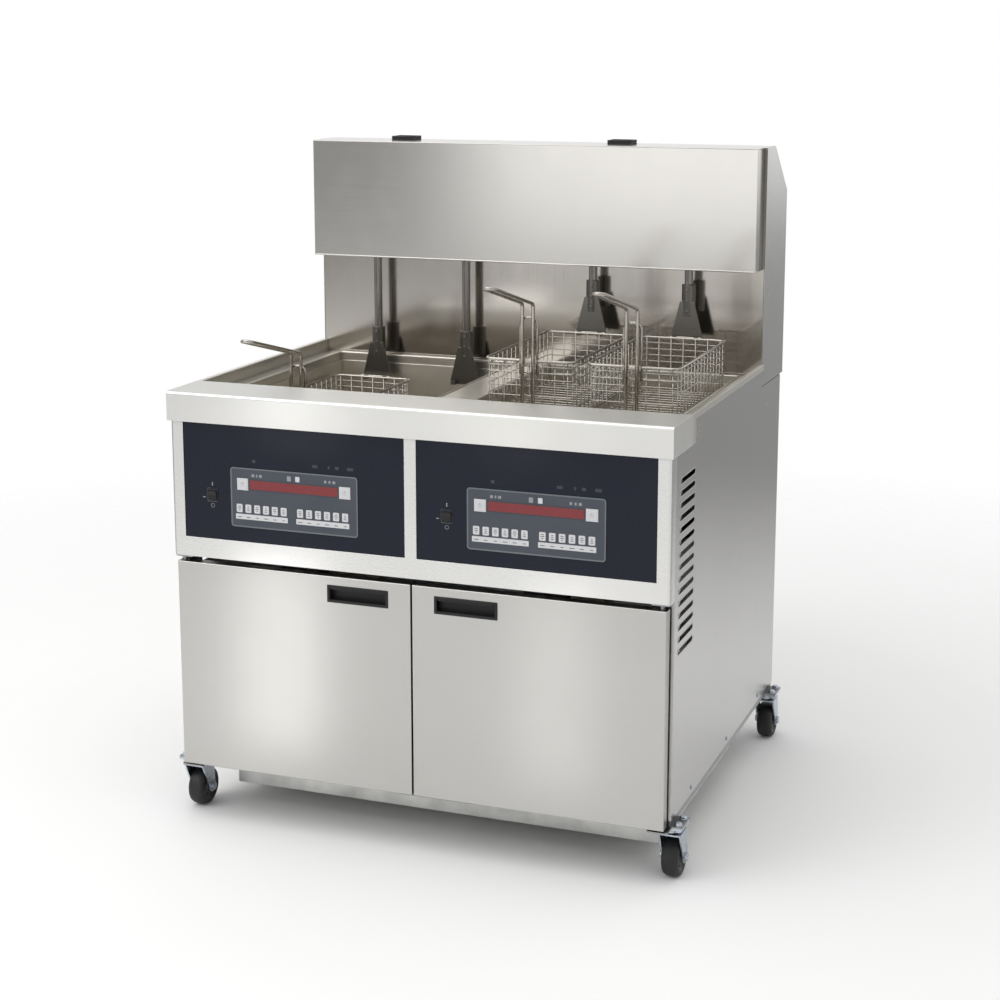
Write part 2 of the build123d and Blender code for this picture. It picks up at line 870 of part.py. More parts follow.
# Timer buttons, two per panel
for label, side in sides:
    for number, k in ((1, -1), (2, 1)):
        x = side * window_x + keypad_shift_x + k * button_offset
        z = keypad_z + display_rise
        with BuildPart() as timer_button:
            half = button_size / 2
            block(
                x - half, x + half, keypad_face - button_proud, panel_face + button_tail, z - half,
                z + half,
            )
            front_face = timer_button.faces().sort_by(Axis.Y)[0]
            fillet(front_face.edges(), button_edge_radius)
        save(timer_button.part, f"{label}_timer_button_{number}")

# Rocker power switches, tilted to their rest position
for label, side in sides:
    x = side * window_x - switch_offset
    pivot = (x, panel_face + switch_depth / 2, keypad_z)
    with BuildPart() as power_switch:
        with BuildSketch(Plane.YZ.offset(x - switch_width / 2)):
            with BuildLine():
                half = switch_height / 2 - switch_gap
                face = panel_face - switch_proud
                Polyline(
                    (face, keypad_z - half),
                    (panel_face - switch_proud / 2, keypad_z),
                    (face, keypad_z + half),
                    (panel_face + switch_proud / 2, keypad_z + half),
                    (panel_face + switch_depth - switch_gap, keypad_z + half / 2),
                    (panel_face + switch_depth - switch_gap, keypad_z - half / 2),
                    (panel_face + switch_proud / 2, keypad_z - half),
                    close=True,
                )
            make_face()
        extrude(amount=switch_width)
    power_switch.part = power_switch.part.rotate(Axis(pivot, (1, 0, 0)), switch_tilt)
    save(power_switch.part, f"{label}_power_switch")

# Hinge brackets with their pins, at the doors' outer corners
with BuildPart() as hinge_brackets:
    for _, side in sides:
        outer = side * (cabinet_half - fit_gap)
        plate_front = door_face + hole_gap
        plate_in = outer - side * hinge_plate_width
        block(outer, plate_in, plate_front, fascia_back, fascia_bottom - frame_sheet, fascia_bottom)
        top_pin = fascia_bottom - door_top - frame_sheet + hinge_pin_reach
        axis_x = side * hinge_x
        bar((axis_x, hinge_y, fascia_bottom - frame_sheet), (0, 0, -1), hinge_pin_radius, top_pin)
        block(outer, plate_in, plate_front, cabinet_front, frame_bottom - frame_sheet, frame_bottom)
        leg_out = side * (cabinet_half - hinge_inset - door_edge_gap - hole_gap)
        leg_front = cabinet_front - sheet
        block(
            leg_out, plate_in, leg_front, cabinet_front, frame_bottom - frame_sheet,
            frame_bottom + rail_height,
        )
        bar(
            (axis_x, hinge_y, frame_bottom), (0, 0, 1), hinge_pin_radius,
            door_bottom_gap + hinge_pin_reach,
        )
    fillet(hinge_brackets.edges().filter_by(Axis.Z).group_by(Axis.Y)[0], fascia_corner)
save(hinge_brackets.part, "hinge_brackets")

# Doors: folded pans with an opening for the pull and bores for the hinge pins
for label, side in sides:
    outer = side * door_half
    inner = side * door_split / 2
    pull_x = side * (door_split / 2 + pull_from_split + pull_width / 2)
    pull_z = door_top - pull_drop - pull_height / 2
    door_back = door_face + door_thickness
    with BuildPart() as door:
        block(outer, inner, door_face, door_back, door_bottom, door_top)
        fillet(door.faces().sort_by(Axis.Y)[0].edges(), door_edge_radius)
        block(
            outer - side * door_skin, inner + side * door_skin, door_face + door_skin,
            door_back + hole_gap, door_bottom + door_skin, door_top - door_skin, Mode.SUBTRACT,
        )
        half = pull_width / 2 + fit_gap
        high = pull_height / 2 + fit_gap
        skin_back = door_face + door_skin + fit_gap
        block(
            pull_x - half, pull_x + half, door_face - fit_gap, skin_back, pull_z - high,
            pull_z + high, Mode.SUBTRACT,
        )
        pin_hole = hinge_pin_radius + running_fit
        bar(
            (side * hinge_x, hinge_y, door_bottom - fit_gap), (0, 0, 1), pin_hole,
            door_height + 2 * fit_gap, Mode.SUBTRACT,
        )
    save(door.part, f"{label}_door")

    with BuildPart() as door_pull:
        half = pull_width / 2
        high = pull_height / 2
        bezel_x = half + pull_bezel
        bezel_z = high + pull_bezel
        bezel_front = door_face - pull_bezel_proud
        block(
            pull_x - half, pull_x + half, door_face, door_face + pull_depth, pull_z - high,
            pull_z + high,
        )
        block(
            pull_x - bezel_x, pull_x + bezel_x, bezel_front, door_face, pull_z - bezel_z,
            pull_z + bezel_z,
        )
        block(
            pull_x - half + pull_wall, pull_x + half - pull_wall, bezel_front - fit_gap,
            door_face + pull_depth - pull_wall, pull_z - high + pull_wall, pull_z + high - pull_wall,
            Mode.SUBTRACT,
        )
    save(door_pull.part, f"{label}_door_pull")


def rack_grooves(z_low, z_high):
    # Heights of the grooves that mesh with the pinion, between two heights
    first = math.ceil((z_low - pinion_z) / tooth_pitch)
    last = math.floor((z_high - pinion_z) / tooth_pitch)
    return [pinion_z + k * tooth_pitch for k in range(first, last + 1)]


# Lifts: round rod with a rack cut in its back, clamp, hanger plate and two hooks
for name, x in lift_x.items():
    rim = rest_rim[name]
    rod_bottom = rim + hanger_height - clamp_height
    rod_length = hood_top - sheet - rod_top_gap - (raised_rim + hanger_height - clamp_height)
    below = lift_travel if rim == lowered_rim else 0
    above = lift_travel if rim == raised_rim else 0
    with BuildPart() as lift:
        bar((x, rod_y, rod_bottom), (0, 0, 1), rod_radius, rod_length)
        flank = math.tan(math.radians(pressure_angle))
        pitch_line = rod_y + rod_radius - tooth_addendum
        mouth = tooth_pitch / 4 + rack_backlash / 2 + tooth_addendum * flank
        root = tooth_pitch / 4 + rack_backlash / 2 - tooth_dedendum * flank
        heights = rack_grooves(
            max(pinion_z - below - 3 * tooth_pitch, rod_bottom + clamp_height),
            min(pinion_z + above + 3 * tooth_pitch, rod_bottom + rod_length),
        )
        with BuildSketch(Plane.YZ.offset(x)):
            with Locations(*[(pitch_line, z) for z in heights]):
                Polygon(
                    (-tooth_dedendum - rack_backlash, -root),
                    (tooth_addendum + hole_gap, -mouth - hole_gap * flank),
                    (tooth_addendum + hole_gap, mouth + hole_gap * flank),
                    (-tooth_dedendum - rack_backlash, root),
                    align=None,
                )
        extrude(amount=rod_radius, both=True, mode=Mode.SUBTRACT)
        bar((x, rod_y, rod_bottom), (0, 0, 1), clamp_radius, clamp_height)
        plate_bottom_z = rim - hang_bar - hook_gap - hook_sheet
        with BuildSketch(Plane(origin=(x, hanger_face, 0), x_dir=(1, 0, 0), z_dir=(0, -1, 0))):
            with BuildLine():
                half_top = hanger_top_width / 2
                half_low = hanger_bottom_width / 2
                Polyline(
                    (-half_low, plate_bottom_z),
                    (half_low, plate_bottom_z),
                    (half_low, rim),
                    (half_top, rim + hanger_height),
                    (-half_top, rim + hanger_height),
                    (-half_low, rim),
                    close=True,
                )
            make_face()
        extrude(amount=-hanger_sheet)
        for k in (-1, 1):
            hook_x = x + k * hook_spacing / 2
            x0 = hook_x - hook_width / 2
            x1 = hook_x + hook_width / 2
            block(x0, x1, hook_front, hanger_face, plate_bottom_z, plate_bottom_z + hook_sheet)
            block(x0, x1, hook_front, hook_front + hook_sheet, plate_bottom_z, rim - hook_gap)
    save(lift.part, name)

# Lift drives: gear motor and rod guide on one back plate
with BuildPart() as lift_drives:
    for x in lift_x.values():
        guide_bottom = hood_bottom + guide_rise
        half_guide = guide_width / 2
        motor_x = x + motor_reach
        half_motor = motor_size / 2
        plate_front = splash_front - drive_plate
        block(
            x - half_guide, motor_x + motor_length, plate_front, splash_front, guide_bottom,
            pinion_z + half_motor,
        )
        guide_front = rod_y - rod_radius - drive_plate
        block(
            x - half_guide, x + half_guide, guide_front, plate_front, guide_bottom,
            guide_bottom + guide_height,
        )
        motor_front = pinion_y - half_motor
        block(
            motor_x, motor_x + motor_length, motor_front, plate_front, pinion_z - half_motor,
            pinion_z + half_motor,
        )
        bar(
            (x, rod_y, guide_bottom - hole_gap), (0, 0, 1), rod_radius + running_fit,
            guide_height + 2 * hole_gap, Mode.SUBTRACT,
        )
        bar(
            (motor_x - hole_gap, pinion_y, pinion_z), (1, 0, 0), pinion_shaft + running_fit,
            motor_length / 2 + hole_gap, Mode.SUBTRACT,
        )
save(lift_drives.part, "lift_drives")

# Pinions on their motor shafts
for name, x in lift_x.items():
    root_radius = pinion_radius - tooth_dedendum
    tip_radius = pinion_radius + tooth_addendum
    tooth_root = tooth_pitch / 4
    tooth_tip = tooth_tip_share * tooth_pitch
    shaft_end = x + motor_reach + motor_length / 2 - hole_gap
    gear_origin = (x - pinion_width / 2, pinion_y, pinion_z)
    with BuildPart() as pinion:
        with BuildSketch(Plane(origin=gear_origin, x_dir=(0, 1, 0), z_dir=(1, 0, 0))):
            Circle(root_radius)
            with PolarLocations(0, pinion_teeth):
                Polygon(
                    (root_radius - gear_module, -tooth_root),
                    (tip_radius, -tooth_tip),
                    (tip_radius, tooth_tip),
                    (root_radius - gear_module, tooth_root),
                    align=None,
                )
        extrude(amount=pinion_width)
        bar((x, pinion_y, pinion_z), (1, 0, 0), pinion_shaft, shaft_end - x)
    save(pinion.part, name.replace("lift", "lift_pinion"))


def outline(plane, x0, x1, y0, y1):
    corners = ((x0, y0), (x1, y0), (x1, y1), (x0, y1))
    return Wire.make_polygon([plane.from_local_coords(Vector(a, b, 0)) for a, b in corners])


def meshed(plane, x_range, y_range, x_field, y_field, pitch, web):
    # Flat sheet with a field of square openings, web wide between them
    count_x = round((x_field[1] - x_field[0]) / pitch)
    count_y = round((y_field[1] - y_field[0]) / pitch)
    step_x = (x_field[1] - x_field[0]) / count_x
    step_y = (y_field[1] - y_field[0]) / count_y
    openings = []
    for i in range(count_x):
        for j in range(count_y):
            x0 = x_field[0] + i * step_x + web / 2
            y0 = y_field[0] + j * step_y + web / 2
            openings.append(outline(plane, x0, x0 + step_x - web, y0, y0 + step_y - web))
    return Face(outline(plane, *x_range, *y_range), openings)


# Wire basket as an open box of square mesh with a rim, hang bar and long wire handle, rim at height 0
half = basket_width / 2
bottom = -basket_height
span_x = (-half, half)
span_y = (basket_front, basket_back)
span_z = (bottom, 0)
field_x = (-half + mesh_bar, half - mesh_bar)
field_y = (basket_front + mesh_bar, basket_back - mesh_bar)
field_z = (bottom + basket_wall, -basket_rim)
with BuildPart() as basket_wires:
    bar_half = hang_bar / 2
    bar_reach = hang_bar_width / 2
    block(-bar_reach, bar_reach, hang_bar_y - bar_half, hang_bar_y + bar_half, -hang_bar, 0)
    for k in (-1, 1):
        arm_x = k * (bar_reach - bar_half)
        block(arm_x - bar_half, arm_x + bar_half, basket_back - basket_wall, hang_bar_y, -hang_bar, 0)
    wire_y = basket_front - handle_wire / 2 - fit_gap
    half_grip = handle_width / 2
    foot = bottom + basket_rim
    tip = (wire_y - handle_reach, handle_rise + handle_tilt)
    with BuildLine():
        grip = FilletPolyline(
            (-half_grip, wire_y, foot),
            (-half_grip, wire_y, handle_rise),
            (-half_grip, tip[0], tip[1]),
            (half_grip, tip[0], tip[1]),
            (half_grip, wire_y, handle_rise),
            (half_grip, wire_y, foot),
            radius=(handle_bend, grip_bend, grip_bend, handle_bend),
        )
    with BuildSketch(Plane(origin=(-half_grip, wire_y, foot), z_dir=(0, 0, 1))):
        Circle(handle_wire / 2)
    sweep(path=grip)
    for clip_z in (foot + basket_rim / 2, -basket_rim / 2):
        clip_half = basket_rim / 2
        clip_x = half_grip + handle_wire
        block(
            -clip_x, clip_x, wire_y, basket_front + basket_wall, clip_z - clip_half,
            clip_z + clip_half,
        )
    half_brace = brace_width / 2
    brace_y = basket_front + basket_wall / 2
    with BuildLine():
        brace = FilletPolyline(
            (-half_brace, brace_y, -basket_rim / 2),
            (-half_brace, brace_y, brace_rise),
            (half_brace, brace_y, brace_rise),
            (half_brace, brace_y, -basket_rim / 2),
            radius=brace_bend,
        )
    with BuildSketch(Plane(origin=(-half_brace, brace_y, -basket_rim / 2), z_dir=(0, 0, 1))):
        Circle(brace_wire / 2)
    sweep(path=brace)

with BuildPart() as basket_shape:
    floor_mesh = meshed(Plane.XY.offset(bottom), span_x, span_y, field_x, field_y, mesh_pitch, mesh_bar)
    walls = [extrude(floor_mesh, basket_wall, mode=Mode.PRIVATE)]
    for wall_x in (-half, half - basket_wall):
        side_plane = Plane.YZ.offset(wall_x)
        side_mesh = meshed(side_plane, span_y, span_z, field_y, field_z, mesh_pitch, mesh_bar)
        walls.append(extrude(side_mesh, basket_wall, mode=Mode.PRIVATE))
    for wall_y in (basket_front + basket_wall, basket_back):
        end_plane = Plane.XZ.offset(-wall_y)
        end_mesh = meshed(end_plane, span_x, span_z, field_x, field_z, mesh_pitch, mesh_bar)
        walls.append(extrude(end_mesh, basket_wall, mode=Mode.PRIVATE))
    add([*walls, basket_wires.part])

for number, name in ((1, "lift_1"), (2, "lift_3"), (3, "lift_4")):
    save(basket_shape.part.moved(Location((lift_x[name], 0, rest_rim[name]))), f"basket_{number}")

# Drain valves under the vats, with a stem for the lever
drain_y = vat_front + drain_setback
drain_top = vat_floor - vat_sheet
body_bottom = drain_top - drain_body_height
stem_z = drain_top - drain_body_height / 2
outlet_end = pan_top + drain_outlet_gap
with BuildPart() as drain_valves:
    for _, side in sides:
        x = side * well_x
        bar((x, drain_y, drain_top), (0, 0, -1), drain_body_radius, drain_body_height)
        bar((x, drain_y, drain_top), (0, 0, -1), drain_flange_radius, drain_flange)
        bar((x, drain_y, body_bottom), (0, 0, -1), drain_outlet_radius, body_bottom - outlet_end)
        bar((x, drain_y, stem_z), (0, -1, 0), lever_hub, drain_body_radius + stem_boss)
        bar((x, drain_y, stem_z), (0, -1, 0), stem_radius, drain_body_radius + stem_boss + stem_length)
        bar((x, drain_y, body_bottom), (0, 0, -1), drain_bore, body_bottom - outlet_end, Mode.SUBTRACT)
save(drain_valves.part, "drain_valves")

for label, side in sides:
    x = side * well_x
    hub_y = drain_y - drain_body_radius - stem_boss - fit_gap
    with BuildPart() as drain_handle:
        bar((x, hub_y, stem_z), (0, -1, 0), lever_hub, lever_thickness)
        tip_x = x - side * lever_length
        block(
            x, tip_x, hub_y, hub_y - lever_thickness, stem_z - lever_width / 2,
            stem_z + lever_width / 2,
        )
        end_edges = drain_handle.edges().filter_by(Axis.Y).sort_by(Axis.X)
        fillet(end_edges[:2] if side > 0 else end_edges[-2:], lever_end_radius)
        bar(
            (x, hub_y + fit_gap, stem_z), (0, -1, 0), stem_radius + running_fit,
            lever_thickness + 2 * fit_gap, Mode.SUBTRACT,
        )
    save(drain_handle.part, f"{label}_drain_handle")

# Filter pump with its motor, on the rear rail
with BuildPart() as filter_pump:
    rest_z = frame_bottom + frame_sheet
    pump_back = frame_back - frame_sheet - hole_gap
    pump_front = pump_back - pump_block_depth
    pump_y = (pump_front + pump_back) / 2
    block(
        -pump_block_width / 2, pump_block_width / 2, pump_front, pump_back, rest_z,
        rest_z + pump_height,
    )
    motor_z = rest_z + pump_height / 2
    bar((0, pump_y, motor_z), (-1, 0, 0), pump_motor_radius, pump_block_width / 2 + pump_motor_length)
    foot_x = -pump_block_width / 2 - pump_motor_length / 2
    foot_half = pump_motor_radius
    block(
        foot_x - foot_half, foot_x + foot_half, pump_front, pump_back, rest_z,
        motor_z - pump_motor_radius / 2,
    )
save(filter_pump.part, "filter_pump")

# Oil return line from the pump to both vats, with a manifold behind them
return_height = vat_shoulder + return_rise
manifold_y = vat_back + vat_sheet + manifold_gap
with BuildPart() as oil_return_line:
    with BuildLine() as return_path:
        FilletPolyline(
            (pump_block_width / 2, pump_y, motor_z),
            (return_x, pump_y, motor_z),
            (return_x, pump_y, return_height),
            (return_x, manifold_y, return_height),
            radius=return_bend,
        )
    with BuildSketch(Plane(origin=(pump_block_width / 2, pump_y, motor_z), z_dir=(1, 0, 0))):
        Circle(return_radius)
    sweep(path=return_path.line)
    manifold_half = return_reach + manifold_radius
    bar((-manifold_half, manifold_y, return_height), (1, 0, 0), manifold_radius, 2 * manifold_half)
    for _, side in sides:
        feed_start = (side * return_reach, manifold_y, return_height)
        bar(feed_start, (0, -1, 0), return_radius, manifold_y - vat_back - vat_sheet)
save(oil_return_line.part, "oil_return_line")

# Filter pan with a lip that hangs on the rails, and a wire pull
with BuildPart() as filter_pan:
    body_width = pan_width - 2 * pan_lip
    pan_middle = (pan_front + pan_back) / 2
    with BuildSketch(Plane.XY.offset(pan_bottom)):
        with Locations((0, pan_middle)):
            RectangleRounded(body_width, pan_length - 2 * pan_lip, pan_corner - pan_lip)
    extrude(amount=pan_top - pan_bottom)
    with BuildSketch(Plane.XY.offset(pan_top - pan_sheet)):
        with Locations((0, pan_middle)):
            RectangleRounded(pan_width, pan_length, pan_corner)
    extrude(amount=pan_sheet)
    with BuildSketch(Plane.XY.offset(pan_bottom + pan_sheet)):
        with Locations((0, pan_middle)):
            inner_corner = pan_corner - pan_lip - pan_sheet
            RectangleRounded(
                body_width - 2 * pan_sheet, pan_length - 2 * pan_lip - 2 * pan_sheet, inner_corner,
            )
    extrude(amount=pan_top - pan_bottom, mode=Mode.SUBTRACT)
    pull_front = pan_front + pan_lip - pan_handle_reach
    pull_z = (pan_bottom + pan_top) / 2
    for k in (-1, 1):
        start = (k * pan_handle_width / 2, pan_front + pan_lip + pan_sheet / 2, pull_z)
        bar(start, (0, -1, 0), pan_handle_wire / 2, start[1] - pull_front)
        with Locations((start[0], pull_front, pull_z)):
            Sphere(pan_handle_wire / 2)
    bar((-pan_handle_width / 2, pull_front, pull_z), (1, 0, 0), pan_handle_wire / 2, pan_handle_width)
save(filter_pan.part, "filter_pan")

# Filter screen, a slotted tray with feet inside the pan
with BuildPart() as filter_screen:
    screen_width = body_width - 2 * screen_margin
    screen_length = pan_length - 2 * pan_lip - 2 * screen_margin
    screen_bottom = pan_bottom + pan_sheet
    half_x = screen_width / 2
    half_y = screen_length / 2
    edge = screen_bar / 2
    screen_face = meshed(
        Plane.XY.offset(screen_bottom + screen_lift),
        (-half_x, half_x), (pan_middle - half_y, pan_middle + half_y),
        (-half_x + edge, half_x - edge), (pan_middle - half_y + edge, pan_middle + half_y - edge),
        screen_pitch, screen_bar,
    )
    extrude(screen_face, screen_height - screen_lift)
    for i in (-1, 1):
        for j in (-1, 1):
            foot_x = i * (screen_width - screen_bar) / 2
            foot_y = pan_middle + j * (screen_length - screen_bar) / 2
            bar(
                (foot_x, foot_y, screen_bottom), (0, 0, 1), screen_bar / 2 - screen_skin,
                screen_lift + screen_skin,
            )
save(filter_screen.part, "filter_screen")

# Caster top plates with their swivel rings
with BuildPart() as caster_plates:
    for x, y in casters.values():
        half = caster_plate / 2
        block(x - half, x + half, y - half, y + half, plate_bottom, caster_height)
        ring_bottom = crown_top + swivel_gap
        bar((x, y, ring_bottom), (0, 0, 1), swivel_ring_radius, plate_bottom - ring_bottom)
        bore = swivel_radius + running_fit
        bar(
            (x, y, ring_bottom - hole_gap), (0, 0, 1), bore, plate_bottom - ring_bottom + hole_gap,
            Mode.SUBTRACT,
        )
        for bx, by in bolt_places(x, y):
            bolt_start = (bx, by, plate_bottom - hole_gap)
            bar(
                bolt_start, (0, 0, 1), bolt_radius + screw_gap, caster_plate_sheet + 2 * hole_gap,
                Mode.SUBTRACT,
            )
save(caster_plates.part, "caster_plates")

# Fasteners: caster bolts and panel screws
bolts = [place for x, y in casters.values() for place in bolt_places(x, y)]
with BuildPart() as fasteners:
    with BuildSketch(Plane.XY.offset(plate_bottom - bolt_head)):
        with Locations(*bolts):
            RegularPolygon(bolt_head_radius, 6)
    extrude(amount=bolt_head)
    with Locations(*[(x, y, plate_bottom) for x, y in bolts]):
        Cylinder(bolt_radius, caster_plate_sheet + frame_sheet, align=upright)
    inward = [Plane(origin=place, z_dir=(-place[0], 0, 0)) for place in side_screws]
    inward += [Plane(origin=place, z_dir=(0, -1, 0)) for place in rear_screws]
    with Locations(*inward):
        Cylinder(screw_radius, screw_length, align=upright)
        with Locations((0, 0, -screw_head)):
            Cylinder(screw_head_radius, screw_head, align=upright)
save(fasteners.part, "fasteners")

# Caster forks with king pin, axle and pedal pin
for name, (x, y) in casters.items():
    axle_y = y + caster_trail
    has_pedal = name.startswith("front")
    pedal_y = axle_y + pedal_back
    with BuildPart() as fork:
        half_crown = fork_top_width / 2
        crown_y = y + (caster_trail - fork_foot_radius) / 2
        block(
            x - fork_outer, x + fork_outer, crown_y - half_crown, crown_y + half_crown,
            crown_bottom, crown_top,
        )
        for k in (-1, 1):
            leg_x = x + k * fork_inner if k > 0 else x - fork_outer
            with BuildSketch(Plane.YZ.offset(leg_x)):
                with BuildLine():
                    Polyline(
                        (crown_y - half_crown, crown_top),
                        (axle_y - fork_foot_radius, wheel_radius),
                        (axle_y + fork_foot_radius, wheel_radius),
                        (crown_y + half_crown, crown_top),
                        close=True,
                    )
                make_face()
                with Locations((axle_y, wheel_radius)):
                    Circle(fork_foot_radius)
            extrude(amount=fork_sheet)
        bar((x, y, crown_bottom), (0, 0, 1), swivel_radius, plate_bottom - crown_bottom - swivel_gap)
        axle_reach = fork_outer + axle_head
        bar((x - axle_reach, axle_y, wheel_radius), (1, 0, 0), axle_radius, 2 * axle_reach)
        for k in (-1, 1):
            bar((x + k * fork_outer, axle_y, wheel_radius), (k, 0, 0), axle_head_radius, axle_head)
        if has_pedal:
            bar((x - fork_outer, pedal_y, pedal_z), (1, 0, 0), pedal_pin, 2 * fork_outer)
    save(fork.part, f"{name}_caster_fork")

    with BuildPart() as wheel:
        with BuildSketch(Plane(origin=(x, axle_y, wheel_radius), x_dir=(1, 0, 0), z_dir=(0, -1, 0))):
            with BuildLine():
                half = wheel_width / 2
                recess = half - wheel_recess
                hub_half = half + wheel_side_gap - swivel_gap
                rim_radius = wheel_radius - 2 * wheel_edge_radius
                bore = axle_radius + running_fit
                Polyline(
                    (-hub_half, bore),
                    (-hub_half, wheel_hub_radius),
                    (-recess, wheel_hub_radius),
                    (-recess, rim_radius),
                    (-half, rim_radius),
                    (-half, wheel_radius - wheel_edge_radius),
                    (-half + wheel_edge_radius, wheel_radius),
                    (half - wheel_edge_radius, wheel_radius),
                    (half, wheel_radius - wheel_edge_radius),
                    (half, rim_radius),
                    (recess, rim_radius),
                    (recess, wheel_hub_radius),
                    (hub_half, wheel_hub_radius),
                    (hub_half, bore),
                    close=True,
                )
            make_face()
        revolve(axis=Axis((x, axle_y, wheel_radius), (1, 0, 0)))
    save(wheel.part, f"{name}_caster_wheel")

    if has_pedal:
        with BuildPart() as brake_pedal:
            half = pedal_width / 2
            bar((x - half, pedal_y, pedal_z), (1, 0, 0), pedal_hub, pedal_width)
            block(x - half, x + half, pedal_y, pedal_y + pedal_length, pedal_z, pedal_z + pedal_sheet)
            tread_y = pedal_y + pedal_length
            block(x - half, x + half, tread_y - pedal_sheet, tread_y, pedal_z - pedal_sheet, pedal_z)
            bar(
                (x - half - fit_gap, pedal_y, pedal_z), (1, 0, 0), pedal_pin + running_fit,
                pedal_width + 2 * fit_gap, Mode.SUBTRACT,
            )
        save(brake_pedal.part, f"{name}_brake_pedal")

print("size over all", 2 * king_x + caster_plate, overall_depth, hood_top + flue_proud)
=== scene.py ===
import math

import bmesh
import bpy
from mathutils import Matrix, Vector


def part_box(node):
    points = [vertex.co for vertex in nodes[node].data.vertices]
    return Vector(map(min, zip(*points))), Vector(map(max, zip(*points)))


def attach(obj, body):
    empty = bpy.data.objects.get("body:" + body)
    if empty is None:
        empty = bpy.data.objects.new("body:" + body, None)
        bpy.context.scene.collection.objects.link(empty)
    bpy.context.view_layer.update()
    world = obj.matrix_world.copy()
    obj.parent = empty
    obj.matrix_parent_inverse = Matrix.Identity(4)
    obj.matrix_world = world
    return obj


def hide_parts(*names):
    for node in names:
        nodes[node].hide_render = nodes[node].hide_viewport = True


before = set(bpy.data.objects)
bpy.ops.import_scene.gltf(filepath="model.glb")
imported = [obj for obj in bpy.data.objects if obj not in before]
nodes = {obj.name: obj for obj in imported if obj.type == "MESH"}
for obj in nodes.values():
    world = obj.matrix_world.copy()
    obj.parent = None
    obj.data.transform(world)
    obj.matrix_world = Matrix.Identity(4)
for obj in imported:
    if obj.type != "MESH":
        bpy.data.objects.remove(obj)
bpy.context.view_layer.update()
print("fryer loaded:", len(nodes), "CAD nodes")

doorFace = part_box("left_door")[0].y  # front of the doors, from which depths are measured
tiny = 1e-6  # points closer than this are one


def startMaterial(name, metallic=0.0, gloss=0.5):
    material = bpy.data.materials.new(name)
    material.use_nodes = True
    tree = material.node_tree
    shader = tree.nodes["Principled BSDF"]
    shader.inputs["Metallic"].default_value = metallic
    shader.inputs["Specular IOR Level"].default_value = gloss
    return material, tree, shader


def grain(tree, stretch, detail=3.0):
    coord = tree.nodes.new("ShaderNodeTexCoord")
    mapping = tree.nodes.new("ShaderNodeMapping")
    noise = tree.nodes.new("ShaderNodeTexNoise")
    mapping.inputs["Scale"].default_value = stretch
    noise.inputs["Scale"].default_value = 1.0
    noise.inputs["Detail"].default_value = detail
    tree.links.new(coord.outputs["Object"], mapping.inputs["Vector"])
    tree.links.new(mapping.outputs["Vector"], noise.inputs["Vector"])
    return noise.outputs["Fac"]


def tone(tree, value, stops):
    ramp = tree.nodes.new("ShaderNodeValToRGB")
    elements = ramp.color_ramp.elements
    while len(elements) < len(stops):
        elements.new(0.5)
    for element, (place, color) in zip(elements, stops):
        element.position = place
        element.color = (*color, 1.0)
    tree.links.new(value, ramp.inputs["Fac"])
    return ramp.outputs["Color"]


def spread(tree, value, low, high, fromLow=0.3, fromHigh=0.7):
    rangeNode = tree.nodes.new("ShaderNodeMapRange")
    rangeNode.inputs["From Min"].default_value = fromLow
    rangeNode.inputs["From Max"].default_value = fromHigh
    rangeNode.inputs["To Min"].default_value = low
    rangeNode.inputs["To Max"].default_value = high
    tree.links.new(value, rangeNode.inputs["Value"])
    return rangeNode.outputs["Result"]


def combine(tree, first, second, kind="MULTIPLY", factor=None):
    mix = tree.nodes.new("ShaderNodeMix")
    mix.data_type = "RGBA"
    mix.blend_type = kind
    mix.inputs["Factor"].default_value = 1.0
    if factor:
        tree.links.new(factor, mix.inputs["Factor"])
    tree.links.new(first, mix.inputs[6])
    tree.links.new(second, mix.inputs[7])
    return mix.outputs[2]


def calculate(tree, operation, first, second):
    node = tree.nodes.new("ShaderNodeMath")
    node.operation = operation
    for socket, value in zip(node.inputs, (first, second)):
        if isinstance(value, float):
            socket.default_value = value
        else:
            tree.links.new(value, socket)
    return node.outputs[0]


def relief(tree, shader, height, strength, distance, edge=0.0):
    bump = tree.nodes.new("ShaderNodeBump")
    bump.inputs["Strength"].default_value = strength
    bump.inputs["Distance"].default_value = distance
    tree.links.new(height, bump.inputs["Height"])
    if edge:
        rounded = tree.nodes.new("ShaderNodeBevel")
        rounded.samples = 4
        rounded.inputs["Radius"].default_value = edge
        tree.links.new(rounded.outputs["Normal"], bump.inputs["Normal"])
    tree.links.new(bump.outputs["Normal"], shader.inputs["Normal"])


def shade(color, factor):
    return tuple(min(1.0, c * factor) for c in color)


def streaks(tree, value, color, contrast):
    return tone(tree, value, [(0.3, shade(color, 1 - contrast)), (0.7, shade(color, 1 + contrast))])


def creviceShade(tree, color, reach, shadeDarkest):
    # Painted shade: the colour darkens in seams and inside corners, by ambient occlusion
    seam = tree.nodes.new("ShaderNodeAmbientOcclusion")
    seam.samples = 6
    seam.inputs["Distance"].default_value = reach
    paintedShade = tone(tree, seam.outputs["AO"], [(0.2, (shadeDarkest, shadeDarkest, shadeDarkest)), (0.75, (1.0, 1.0, 1.0))])
    return combine(tree, color, paintedShade)


def depth(tree):
    # How far back a point lies on its piece
    coord = tree.nodes.new("ShaderNodeTexCoord")
    parts = tree.nodes.new("ShaderNodeSeparateXYZ")
    tree.links.new(coord.outputs["Object"], parts.inputs["Vector"])
    return parts.outputs["Y"]


sheetLook = dict(
    printScale=(9, 9, 6), yellowing=1.3, lineRough=0.015, cloudRough=(0.02, -0.015),
    printRough=(0.0, 0.014), printRange=(0.5, 0.75), grooves=(0.025, 0.00006),  # strength, depth
)


